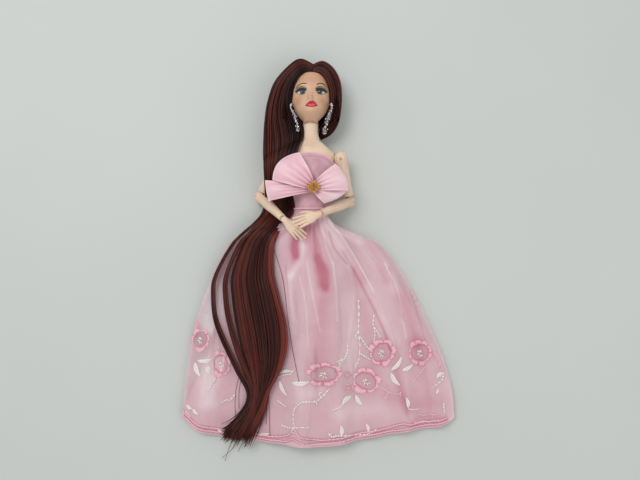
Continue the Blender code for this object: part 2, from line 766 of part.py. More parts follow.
def make_hand(side, frame, out):
    """A flat hand below its wrist ball: palm, four fingers and a thumb in one piece."""
    palm_end = PALM_LENGTH
    width, half = PALM_HALF_WIDTH, PALM_THICKNESS / 2
    stations = [
        (0.30 * WRIST_BALL, *[WRIST_BALL] * 3, 0, 0),
        (0.30 * palm_end, 0.72 * width, 1.3 * half, 1.3 * half, 0, 0),
        (0.55 * palm_end, 0.96 * width, 1.1 * half, 1.1 * half, 0, 0),
        (palm_end, width, 0.8 * half, 0.8 * half, 0, 0),
    ]
    palm_frame = pivot(side + "_palm_frame", Vector((0, 0, 0)), Z, X, None)
    palm_frame.parent = frame
    palm_frame.rotation_euler = (0, 0, 0)
    hand = limb(side + "_hand", palm_frame, WRIST_BALL, stations, 4, 10, SKIN)
    thumb_side = -out
    routes = []
    for root, tip, reach in FINGER_SHARES:
        start = Vector((thumb_side * root * width * 0.86, 0, -palm_end * 0.90))
        finish = Vector((thumb_side * tip * width, half * 0.6, -HAND * reach))
        middle = (start + finish) / 2 + Vector((0, -half * 0.5, 0))
        routes.append((start, middle, finish))
    root = Vector((thumb_side * width * 0.62, 0, -palm_end * 0.34))
    bend = Vector((thumb_side * width * 1.22, half * 0.7, -palm_end * 0.78))
    tip = Vector((thumb_side * width * 1.38, half * 1.1, -palm_end * 1.22))
    routes.append((root, bend, tip))
    for i, route in enumerate(routes):
        finger = tube(f"{side}_finger_{i}", route, FINGER_RADIUS, 1, (1.12, 1.0, 0.66))
        finger.parent = palm_frame
        cut(hand, finger, "UNION")
    return hand


def tube(name, points, radius, resolution, radius_shares=None):
    """A closed round bar along points, as a mesh cutter."""
    curve = bpy.data.curves.new(name, "CURVE")
    curve.dimensions = "3D"
    curve.bevel_depth = radius
    curve.bevel_resolution = resolution
    curve.use_fill_caps = True
    line = curve.splines.new("POLY")
    line.points.add(len(points) - 1)
    for i, point in enumerate(points):
        line.points[i].co = (*point, 1)
        if radius_shares:
            line.points[i].radius = radius_shares[i]
    drawn = bpy.data.objects.new(name + "_line", curve)
    bpy.context.scene.collection.objects.link(drawn)
    graph = bpy.context.evaluated_depsgraph_get()
    mesh = bpy.data.meshes.new_from_object(drawn.evaluated_get(graph))
    bpy.data.objects.remove(drawn, do_unlink=True)
    shape = bmesh.new()
    shape.from_mesh(mesh)
    bmesh.ops.remove_doubles(shape, verts=shape.verts, dist=radius / 100)
    bmesh.ops.recalc_face_normals(shape, faces=shape.faces)
    shape.to_mesh(mesh)
    shape.free()
    mesh.materials.clear()
    return placed(name, finished(mesh), None)


def make_leg(side, shells):
    """One leg: hub, thigh, knee link, and shin with a pointed foot, with their pins."""
    out = 1 if side == "left" else -1
    hip = Vector((out * HIP_X, HIP_Y, HIP_Z))
    knee = hip + LEG_DOWN * THIGH
    inward = -out * X
    across = X.cross(LEG_DOWN)

    hub_frame = pivot(side + "_hip_swing_axis", hip, inward, across)
    for shell in shells:
        cut(shell, leg_room(f"{side}_leg_room_{shell.name}", hip, HIP_BALL + GAP, out))
    link(side + "_hip_hub", HIP_FITTING, hub_frame, shells)

    thigh_frame = pivot(side + "_hip_spread_axis", hip, -LEG_DOWN, across, hub_frame)
    end = THIGH - KNEE_ROOM
    radius = THIGH_RADIUS
    drift = out * (radius - HIP_BALL)
    knee_width = 0.60 * radius
    stations = [
        (0.10 * HIP_BALL, *[HIP_BALL] * 3, 0, 0),
        (0.20 * end, 0.96 * radius, 0.97 * radius, 0.97 * radius, 0, drift),
        (0.45 * end, 0.90 * radius, 0.90 * radius, 0.90 * radius, 0, drift / 2),
        (0.80 * end, *[0.66 * radius] * 3, 0, 0),
        (end, *[knee_width] * 3, 0, 0),
    ]
    thigh = limb(side + "_thigh", thigh_frame, HIP_BALL, stations, 6, 12, SKIN)
    travel = (-HIP_SPREAD[1], -HIP_SPREAD[0]) if side == "left" else HIP_SPREAD
    seat(thigh, side + "_hip", HIP_FITTING, thigh_frame, inward, travel, HIP_BALL)

    knee_frame = pivot(side + "_knee_axis", knee, -LEG_DOWN, X, thigh_frame)
    link(side + "_knee_link", KNEE_FITTING, knee_frame, [thigh])

    shin_frame = pivot(side + "_shin_frame", knee, -LEG_DOWN, X, knee_frame)
    calf, ankle = CALF_RADIUS, ANKLE_RADIUS
    toe = SHIN + FOOT
    lift = 0.5 * ankle
    stations = [
        (0.10 * KNEE_BALL, *[KNEE_BALL] * 3, 0, 0),
        (0.14 * SHIN, *[0.92 * KNEE_BALL] * 3, 0, 0),
        (0.36 * SHIN, 0.94 * calf, 0.86 * calf, 1.05 * calf, 0, 0),
        (0.70 * SHIN, *[0.66 * calf] * 3, 0, 0),
        (SHIN, ankle, ankle, 1.1 * ankle, 0, 0),
        (SHIN + 0.35 * FOOT, 1.05 * ankle, ankle, 1.15 * ankle, 0, lift),
        (SHIN + 0.74 * FOOT, FOOT_HALF_WIDTH, 0.8 * ankle, 0.8 * ankle, 0, 1.5 * lift),
        (toe, 0.62 * FOOT_HALF_WIDTH, TOE_DEPTH / 2, TOE_DEPTH / 2, 0, 1.2 * lift),
    ]
    shin = limb(side + "_shin", shin_frame, KNEE_BALL, stations, 8, 10, SKIN)
    seat(shin, side + "_knee", KNEE_FITTING, shin_frame, -LEG_DOWN, KNEE_BEND, KNEE_BALL)


# The skirt's outline: how wide its two sides stand and how low its hem hangs, as shares
LEFT_EDGE_SHARES = (
    (0.0, 0.10),
    (0.08, 0.29),
    (0.16, 0.48),
    (0.28, 0.62),
    (0.47, 0.77),
    (0.60, 0.855),
    (0.72, 0.925),
    (0.88, 0.985),
    (1.0, 1.0),
)
RIGHT_EDGE_SHARES = (
    (0.0, 0.11),
    (0.06, 0.42),
    (0.12, 0.59),
    (0.24, 0.715),
    (0.40, 0.82),
    (0.55, 0.90),
    (0.76, 0.96),
    (1.0, 1.0),
)
HEM_SHARES = (
    (-1.0, 0.872),
    (-0.87, 0.926),
    (-0.63, 0.951),
    (-0.28, 0.972),
    (0.07, 0.980),
    (0.39, 0.956),
    (0.69, 0.924),
    (0.93, 0.900),
    (1.0, 0.876),
)
# The main folds: place across, half width, height, and where along the skirt each one rises
FOLD_SHARES = (
    (-0.86, 0.08, 0.80, 0.25),
    (-0.58, 0.09, 0.85, 0.20),
    (-0.32, 0.08, 0.60, 0.15),
    (-0.07, 0.08, 0.75, 0.11),
    (0.22, 0.08, 1.00, 0.02),
    (0.44, 0.07, 0.55, 0.28),
    (0.66, 0.08, 1.00, 0.04),
    (0.89, 0.06, 0.75, 0.08),
)
SKIRT_ROWS = 10
SKIRT_COLUMNS = 30


def leg_cover(y):
    """How high the legs reach and how far out, at a place along them."""
    down = (HIP_Y - y) / (THIGH + SHIN + FOOT)
    down = min(max(down, 0), 1)
    radius = mix(THIGH_RADIUS, ANKLE_RADIUS * 1.5, eased(down * 1.15))
    middle = HIP_Z + LEG_DROP_SHARE * (HIP_Y - y if y < HIP_Y else 0)
    return middle + radius + LEG_COVER, HIP_X + radius


def fold(across, along):
    """The cloth's main folds, growing towards the hem."""
    height = 0.0
    for place, spread, share, start in FOLD_SHARES:
        grown = eased((along - start) / 0.30) * mix(0.35, 1, along)
        height += FOLD_HEIGHT * share * grown * bump(across - place, spread)
    return height


def trunk_depth(point, offset, front):
    """How far the trunk's skin stands ahead of or behind its middle, moved out by an offset."""
    width, ahead, behind, height = through(TRUNK, point.y)
    reach = abs(point.x) / (width + offset)
    if reach > 1:
        return -OVERRUN if front else OVERRUN
    side = math.sqrt(1 - reach**2)
    return height + (ahead + offset) * side if front else height - (behind + offset) * side


def skirt_point(across, along, offset, front, short=0.0):
    """A point on the skirt; across runs -1 to 1 and along from the waist to the hem."""
    reach = SKIRT_LEFT_REACH if across > 0 else SKIRT_RIGHT_REACH
    edge = LEFT_EDGE_SHARES if across > 0 else RIGHT_EDGE_SHARES
    hem = through(HEM_SHARES, across)[0] * SKIRT_LENGTH - short
    y = WAIST_Y - along * hem
    x = across * reach * through(edge, along)[0]
    turn = (1 - across) * math.pi / 2
    sign = 1 if front else -1
    loose = eased(along / 0.16)
    waist_x = SKIRT_WAIST_HALF_WIDTH * math.cos(turn)
    depth = WAIST_FRONT if front else WAIST_BACK
    waist_z = TRUNK_Z + sign * (depth * math.sin(turn) + GAP / 2)
    if front:
        top, wide = leg_cover(y)
        tent = SKIRT_EDGE_LIFT + (top - SKIRT_EDGE_LIFT) / (1 + (abs(x) / (1.42 * wide)) ** 4)
        lying = tent + fold(across, along)
    else:
        lying = SKIRT_STACK
    out = Vector((math.cos(turn) * (1 - loose), 0, sign * mix(math.sin(turn), 1, loose))).normalized()
    point = Vector((mix(waist_x, x, loose), y, mix(waist_z, lying, loose))) + out * offset
    skin = trunk_depth(point, offset + CLEAR_OF_TRUNK, front)
    point.z = max(point.z, skin) if front else min(point.z, skin)
    return point


def skirt_layer(name, material, inner, front, short, rows, columns):
    """One cloth panel of the skirt, from an inner offset outward by the cloth's thickness."""
    grids = []
    for offset in (inner + CLOTH, inner):
        grid = []
        for r in range(rows + 1):
            along = (r / rows) ** (1.15 if front else 1.7)
            grid.append([])
            for c in range(columns + 1):
                across = mix(-1, 1, c / columns)
                puff = OVERSKIRT_PUFF * eased(1.4 * along) if front and inner > CLOTH else 0
                point = skirt_point(across, along, offset + puff, front, short * eased(along))
                point.z = max(point.z, 0)
                grid[-1].append(point)
        grids.append(grid)
    return placed(name, panel(name, *grids), material)


def make_skirt():
    """Lining and organza overskirt, each with a front and a back panel."""
    skirt_layer("lining_front", LINING, LINING_OFFSET, True, 0.0, SKIRT_ROWS, SKIRT_COLUMNS)
    skirt_layer("lining_back", LINING, LINING_OFFSET, False, 0.0, 9, 16)
    skirt_layer("overskirt_front", ORGANZA, OVERSKIRT_OFFSET, True, OVERSKIRT_SHORT, SKIRT_ROWS, SKIRT_COLUMNS)
    skirt_layer("overskirt_back", ORGANZA, OVERSKIRT_OFFSET, False, OVERSKIRT_SHORT, 9, 16)


def bodice_top(angle):
    """The neckline: high in front, falling to the armpits, straight across the back."""
    rise = max(math.sin(angle), 0)
    return BODICE_SIDE_Y + BODICE_TOP_RISE * rise**1.2


def bodice_panel(name, start, end, offset, rows, columns):
    """A bodice panel between two angles round the trunk."""
    grids = []
    for out in (offset + BODICE_THICKNESS, offset):
        grid = []
        for r in range(rows + 1):
            grid.append([])
            for c in range(columns + 1):
                angle = mix(start, end, c / columns)
                y = mix(WAIST_Y + 2 * GAP, bodice_top(angle), r / rows)
                lift = (offset - BODICE_OFFSET) * (eased(abs(math.sin(angle))) - 1)
                point = trunk_point(TRUNK, y, angle, out + lift)
                point.z = max(point.z, 0)
                grid[-1].append(point)
        grids.append(grid)
    return placed(name, panel(name, *grids), SATIN)


def make_bodice():
    """Front panel, two back panels with their closure tape, and the neckline piping."""
    seam = math.radians(2)
    bodice_panel("bodice_front", seam, math.pi - seam, BODICE_OFFSET, 8, 14)
    back = 1.5 * math.pi
    split = math.radians(1.2)
    bodice_panel("bodice_back_right", math.pi + seam, back - split, BACK_OFFSET, 5, 6)
    bodice_panel("bodice_back_left", back + split, math.tau - seam, BACK_OFFSET, 5, 6)
    tape = math.radians(11)
    grids = []
    for out in (BACK_OFFSET - GAP, 1.3 * GAP):
        grid = []
        for r in range(7):
            y = mix(WAIST_Y + 6 * GAP, BODICE_SIDE_Y - 6 * GAP, r / 6)
            grid.append([trunk_point(TRUNK, y, mix(back - tape, back + tape, c / 2), out) for c in range(3)])
        grids.append(grid)
    placed("closure_tape", panel("closure_tape", *grids), TAPE)
    points = []
    count = 14
    for i in range(count + 1):
        angle = mix(math.radians(8), math.pi - math.radians(8), i / count)
        out = BODICE_OFFSET + BODICE_THICKNESS / 2
        point = trunk_point(TRUNK, bodice_top(angle), angle, out)
        points.append(point + Y * (PIPING_RADIUS + GAP))
    piping = tube("bodice_piping", points, PIPING_RADIUS, 1)
    show(piping, SATIN)


def show(piece, material):
    """Make a cutter a piece of the doll."""
    CUTTERS.objects.unlink(piece)
    DOLL.objects.link(piece)
    piece.hide_render = False
    piece.display_type = "TEXTURED"
    piece.data.materials.append(material)


# Bow leaves: the far end's corners, the rise of middle and end, pleats, level and the end's roundness
BOW_LEAF_SHARES = {
    "bow_loop_right": ((-0.290, 0.710), (-0.835, 0.150), 1.00, -0.55, 2, 0, 0.42),
    "bow_tail_right": ((-0.994, 0.149), (-0.920, -0.275), 0.55, -0.70, 2, 1, 0.05),
    "bow_loop_left": ((0.448, 0.484), (0.702, -0.020), 1.00, -0.65, 2, 0, 0.24),
    "bow_tail_left": ((0.680, -0.060), (0.215, -0.325), 0.45, -0.50, 1, 1, 0.34),
}


def leaf(name, first, second, middle_rise, end_rise, folds, level, roundness):
    """One leaf of the bow: narrow and pleated at the knot, full and curved at its end."""
    knot = Vector(KNOT) - Z * (BOW_TAIL_DROP * level)
    first = Vector((*first, 0)) * BOW_REACH
    second = Vector((*second, 0)) * BOW_REACH
    centre = (first + second) / 2
    half_end = (first - second) / 2
    half_root = half_end.normalized() * BOW_ROOT_HALF_WIDTH
    way = centre.normalized()
    start = way * GEM_HALF_SIDE
    grids = []
    rows, columns = 6, 7
    for sign in (1, 0):
        grid = []
        for r in range(rows + 1):
            along = r / rows
            grid.append([])
            for c in range(columns + 1):
                across = mix(-1, 1, c / columns)
                flat = mix(start, centre, along) + across * (half_root + (half_end - half_root) * along**0.8)
                flat += way * (roundness * half_end.length * (1 - across * across) * along)
                bow_up = BOW_RISE * (middle_rise * math.sin(math.pi * along) + end_rise * eased(along))
                pleat = 0.5 * BOW_THICKNESS * math.cos(math.tau * folds * across) * (1 - 0.5 * along)
                full = BOW_THICKNESS * (0.35 + 1.3 * along * (1 - across * across))
                rise = bow_up + pleat + sign * full
                grid[-1].append(knot + flat + Z * rise)
        grids.append(grid)
    return placed(name, panel(name, *grids), BOW)


def make_bow():
    """Four leaves, the wrapped knot, and the square stone in its beaded setting."""
    for name, shape in BOW_LEAF_SHARES.items():
        leaf(name, *shape)
    knot = Vector(KNOT)
    frame = pivot("gem_frame", knot + Z * GEM_LIFT, Z, (X + Y).normalized())
    half = GEM_HALF_SIDE
    low = Vector((-half, -half, -GEM_BASE))
    high = Vector((half, half, GEM_BASE))
    shape = bmesh.new()
    bmesh.ops.create_cube(shape, size=1)
    scale = Matrix.Diagonal((*(high - low), 1))
    bmesh.ops.transform(shape, matrix=scale, verts=shape.verts)
    setting = placed("gem_setting", mesh_from(shape, "gem_setting"), GOLD, frame)
    per_side = 3
    for i in range(4 * per_side):
        edge, step = divmod(i, per_side)
        along = mix(-1, 1, step / per_side) * (half - BEAD_RADIUS)
        spin = Matrix.Rotation(math.pi / 2 * edge, 3, "Z")
        place = spin @ Vector((along, half - BEAD_RADIUS, GEM_BASE))
        bead = bmesh.new()
        bmesh.ops.create_icosphere(bead, subdivisions=1, radius=BEAD_RADIUS)
        cutter = placed(f"gem_bead_{i}", mesh_from(bead, f"gem_bead_{i}"), None, frame)
        cutter.location = place
        cut(setting, cutter, "UNION")
    inner = half - 2 * BEAD_RADIUS - GAP
    bottom = GEM_BASE + GAP
    rings = []
    for share, height in ((0.86, 0), (1.0, 0.45), (0.52, 1.0)):
        reach = inner * share
        z = bottom + GEM_RISE * height
        rings.append([Vector((sx * reach, sy * reach, z)) for sx, sy in ((1, 1), (-1, 1), (-1, -1), (1, -1))])
    placed("gem_stone", loft("gem_stone", rings), AMBER, frame)


def hair_ring(height):
    """The crown's outline at a height above the eyes, in the head's own axes."""
    share = height / HAIR_TOP if height > 0 else height / HEAD_BELOW
    round_off = math.sqrt(max(1 - max(share, 0) ** 2.6, 0.0))
    width = mix(HAIR_SIDE, HAIR_SIDE * 0.94, max(-share, 0)) * max(round_off, 0.16)
    front = FACE_DEPTH * 0.86 * max(round_off, 0.2) * mix(1, 0.25, eased(-share / 0.45))
    return width, front


def make_hair():
    """Rooted hair: a crown shell round the head, and a side lock and a long fall as solids."""
    rings = []
    sides = 24
    rows = 11
    low = -0.80 * HEAD_BELOW
    for i in range(rows + 1):
        height = mix(low, 0.985 * HAIR_TOP, i / rows)
        width, front = hair_ring(height)
        points = []
        for k in range(sides):
            angle = math.tau * k / sides
            rise = math.sin(angle)
            back = HEAD_CENTRE + HEAD_UP * height
            floor = (back.z - HAIR_BACK_GAP) / math.cos(HEAD_TILT)
            squash = abs(rise) ** 0.75 * (1 if rise > 0 else -1)
            depth = front if rise > 0 else min(floor, SKULL_DEPTH * 1.35)
            if i == rows:
                depth *= 0.4
            point = back + X * (width * math.cos(angle)) + HEAD_AHEAD * (depth * squash)
            parting = bump(point.x, PARTING) * eased(height / HAIR_TOP) * PARTING
            point -= HEAD_UP * parting
            point.z = max(point.z, HAIR_BACK_GAP)
            points.append(point)
        rings.append(points)
    crown = placed("hair_crown", loft("hair_crown", rings), HAIR)
    top = 0.995 * HEAD_ABOVE + HAIR_CLEARANCE
    inner = head_body("hair_room", HAIR_CLEARANCE, -0.93 * HEAD_BELOW, top, 13, 20)
    cut(crown, placed("hair_room", inner, None))
    face = []
    for i in range(16):
        angle = math.tau * i / 16
        x = HAIR_FACE_HALF_WIDTH * math.cos(angle)
        up = math.sin(angle)
        height = up * (0.90 * HEAD_ABOVE if up > 0 else 1.6 * HEAD_BELOW)
        face.append(HEAD_CENTRE + X * x + HEAD_UP * height)
    near = [point + HEAD_AHEAD * (0.26 * FACE_DEPTH) for point in face]
    far = [point + HEAD_AHEAD * (3 * FACE_DEPTH) for point in face]
    cut(crown, placed("face_opening", loft("face_opening", [near, far]), None))
    nape = ball("nape_opening", HAIR_NAPE, NECK_CENTRE - HEAD_UP * (0.35 * HAIR_NAPE), None, None, 7)
    nape.scale = (0.85, 1.0, 1.0)
    cut(crown, nape)
    return crown


# The long fall: place along it, left and right edge, underside and thickness, all as shares
FALL_UPPER_SHARES = (
    (0.00, -0.285, -0.232, 0.42, 1.00),
    (0.07, -0.335, -0.276, 0.34, 1.70),
    (0.17, -0.401, -0.303, 0.25, 2.50),
    (0.30, -0.434, -0.306, 0.17, 3.00),
    (0.41, -0.461, -0.294, 0.20, 2.80),
    (0.47, -0.468, -0.225, 0.30, 2.40),
    (0.52, -0.475, -0.155, 0.55, 1.80),
    (0.62, -0.487, -0.200, 0.94, 0.75),
    (0.72, -0.493, -0.235, 0.96, 0.66),
    (0.85, -0.452, -0.240, 0.78, 0.66),
    (0.93, -0.412, -0.226, 0.62, 0.62),
    (1.00, -0.395, -0.213, 0.46, 0.60),
)
FALL_LOWER_SHARES = (
    (0.00, -0.395, -0.213, 0.44, 0.60),
    (0.07, -0.430, -0.217, 0.34, 0.70),
    (0.13, -0.630, -0.315, 0.20, 0.90),
    (0.22, -0.842, -0.447, 0.10, 1.00),
    (0.40, -1.000, -0.315, 0.10, 1.00),
    (0.61, -0.920, -0.230, 0.10, 1.00),
    (0.75, -0.790, -0.355, 0.10, 0.85),
    (0.85, -0.684, -0.408, 0.10, 0.75),
    (0.99, -0.868, -0.434, 0.10, 0.35),
    (1.00, -0.868, -0.434, 0.10, 0.35),
)


def under_arm(x, y, arm):
    """How high a thing may stand where the forearm crosses above it."""
    start, end = arm
    way = (end - start).xy
    share = (Vector((x, y)) - start.xy).dot(way) / way.length_squared
    share = min(max(share, 0), 1)
    on_arm = start + (end - start) * share
    away = (Vector((x, y)) - on_arm.xy).length
    outside = max(away - 0.9 * ELBOW_BALL, 0)
    return on_arm.z - 1.6 * ELBOW_BALL + 2.5 * outside


def gown_top(x, y):
    """The overskirt's upper surface over a point, for what lies on it."""
    across, along = 0.0, 0.0
    reach = SKIRT_LEFT_REACH if x > 0 else SKIRT_RIGHT_REACH
    edge = LEFT_EDGE_SHARES if x > 0 else RIGHT_EDGE_SHARES
    for _ in range(6):
        hem = through(HEM_SHARES, across)[0] * SKIRT_LENGTH
        along = min(max((WAIST_Y - y) / hem, 0.04), 1)
        across = min(max(x / (reach * through(edge, along)[0]), -1), 1)
    offset = OVERSKIRT_OFFSET + CLOTH + OVERSKIRT_PUFF * eased(1.4 * along)
    return skirt_point(across, along, offset, True).z


def make_fall(arm):
    """The fall over the shoulder, then along the skirt, and the lock beside the far cheek."""
    sides = 12
    rings = []
    rows = 14
    for i in range(rows + 1):
        share = i / rows
        y = mix(FALL_TOP_Y, FALL_SPLIT_Y, share)
        left, right, under, thick = through(FALL_UPPER_SHARES, share)
        height = (y - HEAD_CENTRE.y) / HEAD_UP.y
        if -0.75 * HEAD_BELOW < height < HAIR_TOP:
            beside = -(hair_ring(height)[0] + GAP) / FALL_REACH
            left += min(beside - right, 0)
            right = min(right, beside)
        low = under * FALL_RISE
        half = thick * FALL_THICKNESS / 2
        points = ring(Vector((0, y, low + half)), X, Z, (right - left) / 2 * FALL_REACH, half, half, sides)
        for point in points:
            point.x += (left + right) / 2 * FALL_REACH
            point.z = min(point.z, under_arm(point.x, point.y, arm) + CLOTH * (point.z > low + half))
        rings.append(points)
    placed("hair_fall_upper", loft("hair_fall_upper", rings), HAIR)
    grids = []
    rows, columns = 16, 7
    for up in (1, 0):
        grid = []
        for r in range(rows + 1):
            share = (r / rows) ** 1.4
            y = mix(FALL_SPLIT_Y - GAP, FALL_END_Y, share)
            left, right, under, thick = through(FALL_LOWER_SHARES, share)
            grid.append([])
            for c in range(columns + 1):
                across = mix(-1, 1, c / columns)
                x = mix(left, right, c / columns) * FALL_REACH
                low = max(gown_top(x, y) + FALL_CLEARANCE, under * FALL_RISE)
                full = thick * FALL_THICKNESS * (0.25 + 0.75 * (1 - across * across))
                ceiling = under_arm(x, y, arm)
                high = min(low + full, ceiling)
                low = max(min(low, high - 2 * CLOTH), GAP)
                grid[-1].append(Vector((x, y, high if up else low)))
        grids.append(grid)
    placed("hair_fall_lower", panel("hair_fall_lower", *grids), HAIR)
    rings = []
    rows = 6
    for i in range(rows + 1):
        along = i / rows
        turn = along * math.radians(88)
        x = LOCK_X - LOCK_CURL * (1 - math.cos(turn))
        centre = Vector((x, LOCK_TOP_Y - LOCK_DROP * math.sin(turn), LOCK_Z))
        size = mix(LOCK_HALF_WIDTH, 0.65 * LOCK_HALF_WIDTH, along)
        outward = Vector((math.cos(turn), -math.sin(turn), 0))
        rings.append(ring(centre, outward, Z, size, size * 2.2, size * 2.2, sides))
    placed("hair_side_lock", loft("hair_side_lock", rings), HAIR)


def make_earring(side, hosts):
    """A hook whose post turns in the head, with two clusters of set stones beside the jaw."""
    out = 1 if side == "left" else -1
    ear = Vector((out * EAR_HALF_SPAN, EAR_Y, EAR_Z))
    inward = Vector((-out * math.sin(POST_TILT), 0, -math.cos(POST_TILT)))
    lean = Vector((-out * EARRING_LEAN, -1, 0)).normalized()
    lean = (lean - inward * lean.dot(inward)).normalized()
    frame = pivot(side + "_earring_axis", ear, -lean, -inward)
    length = EARRING_LENGTH
    bend = 3 * HOOK_RADIUS
    route = [Vector((-EAR_POST, 0, 0)), Vector((-bend, 0, 0)), Vector((-0.3 * bend, 0, -0.3 * bend))]
    route += [Vector((0, 0, -bend)), Vector((0, 0, -length))]
    hook = tube(side + "_earring", route, HOOK_RADIUS, 1)
    hook.parent = frame
    show(hook, CRYSTAL)
    for host in hosts:
        cut(host, cylinder(f"{side}_post_hole_{host.name}", HOOK_RADIUS + GAP, 2.4 * EAR_POST, None, frame))
    number = 0
    for level, petals, spread in ((0.42, 4, 1.2), (0.86, 4, 1.15)):
        for k in range(petals + 1):
            turn = math.tau * k / petals
            reach = spread * STONE_RADIUS * (k < petals)
            place = (0, reach * math.cos(turn), -level * length + reach * math.sin(turn))
            stone = bmesh.new()
            bmesh.ops.create_uvsphere(stone, u_segments=4, v_segments=2, radius=STONE_RADIUS)
            name = f"{side}_stone_{number}"
            cutter = placed(name, mesh_from(stone, name), None, frame)
            cutter.location = place
            cutter.rotation_euler = (math.radians(17), math.radians(11), math.radians(13 + 7 * k))
            cut(hook, cutter, "UNION")
            number += 1


def make_doll():
    """Put the whole doll together."""
    shells = make_trunk()
    neck = make_neck(shells)
    skin = make_head(neck)
    crown = make_hair()
    for side in ("left", "right"):
        arm = make_arm(side, shells)
        make_leg(side, shells)
        make_earring(side, (skin, crown))
    make_skirt()
    make_bodice()
    make_bow()
    make_fall(arm)


make_doll()
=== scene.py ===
"""The looks of a jointed fashion doll in a bow-fronted gown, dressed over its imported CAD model.

Lengths are in metres in the CAD model's frame: +X the doll's left, +Y its head, +Z out of its chest.
"""

import math
import random

import bpy
import numpy as np
from mathutils import Matrix, Vector
from mathutils.bvhtree import BVHTree


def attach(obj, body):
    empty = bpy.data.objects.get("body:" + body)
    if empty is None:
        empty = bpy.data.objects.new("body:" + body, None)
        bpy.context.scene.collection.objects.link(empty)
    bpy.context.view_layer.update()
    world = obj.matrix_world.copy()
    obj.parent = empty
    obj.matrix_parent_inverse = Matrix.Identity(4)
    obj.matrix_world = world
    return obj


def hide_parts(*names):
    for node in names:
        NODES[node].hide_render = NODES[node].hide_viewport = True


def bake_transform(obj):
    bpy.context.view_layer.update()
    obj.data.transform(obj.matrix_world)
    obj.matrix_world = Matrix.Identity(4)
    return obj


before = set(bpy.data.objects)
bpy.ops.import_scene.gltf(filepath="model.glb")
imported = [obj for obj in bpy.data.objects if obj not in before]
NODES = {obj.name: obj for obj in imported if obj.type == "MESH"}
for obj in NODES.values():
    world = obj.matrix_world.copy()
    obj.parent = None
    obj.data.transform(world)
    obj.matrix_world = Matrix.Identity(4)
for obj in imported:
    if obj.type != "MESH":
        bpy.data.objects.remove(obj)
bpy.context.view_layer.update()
MM = 0.001

# Camera: straight above, as the doll was photographed
CAMERA_X = 0.0070
CAMERA_HEIGHT = 0.550
FIELD = 0.4992
PHOTO_WIDTH, PHOTO_MIDDLE = 640, (320, 240)


def seen(u, v, z):
    """The place at height z that shows at a pixel of the photograph's frame."""
    step = FIELD / PHOTO_WIDTH * (CAMERA_HEIGHT - z) / CAMERA_HEIGHT
    return CAMERA_X + (u - PHOTO_MIDDLE[0]) * step, (PHOTO_MIDDLE[1] - v) * step


def mix(a, b, share):
    return a + (b - a) * share


def eased(share):
    share = np.clip(share, 0, 1)
    return share * share * (3 - 2 * share)


def bump(distance, spread):
    return np.exp(-((distance / spread) ** 2))


def through(rows, where):
    """A smooth curve through rows of (place, value, ...), read at a place."""
    rows = sorted(rows)
    k = 0
    while k < len(rows) - 2 and where > rows[k + 1][0]:
        k += 1
    low, high = rows[k], rows[k + 1]
    before, after = rows[max(k - 1, 0)], rows[min(k + 2, len(rows) - 1)]
    span = high[0] - low[0]
    t = min(max((where - low[0]) / span, 0), 1)
    values = []
    for a, b, c, d in zip(before[1:], low[1:], high[1:], after[1:]):
        slope_in = (c - a) * span / (high[0] - before[0])
        slope_out = (d - b) * span / (after[0] - low[0])
        soft = t * t * (3 - 2 * t)
        values.append(b + (c - b) * soft + slope_in * t * (1 - t) ** 2 + slope_out * t * t * (t - 1))
    return values


def smooth(points, count):
    """Points along a smooth curve through the given ones, evenly by their number."""
    points = np.asarray(points, float)
    last = len(points) - 1
    where = np.linspace(0, last, count)
    k = np.minimum(where.astype(int), last - 1)
    t = (where - k)[:, None]
    a, b = points[np.maximum(k - 1, 0)], points[k]
    c, d = points[k + 1], points[np.minimum(k + 2, last)]
    return 0.5 * (2 * b + (c - a) * t + (2 * a - 5 * b + 4 * c - d) * t**2 + (3 * b - a - 3 * c + d) * t**3)


# Materials: how much a colour drifts about its tint, and a roughness about its value
DRIFT_SHARE = 0.25
ROUGHNESS_DRIFT = 0.07


def linear(*colour):
    """A colour from its 0 to 255 values, as the shader wants it."""
    shares = [c / 255 for c in colour]
    return tuple(c / 12.92 if c <= 0.04045 else ((c + 0.055) / 1.055) ** 2.4 for c in shares)


def shader_node(made, kind, **inputs):
    """A shader node with some of its inputs set to values or linked to outputs."""
    added = made.node_tree.nodes.new("ShaderNode" + kind)
    for name, value in inputs.items():
        socket = added.inputs[name.replace("_", " ")]
        if isinstance(value, bpy.types.NodeSocket):
            made.node_tree.links.new(value, socket)
        else:
            socket.default_value = value
    return added


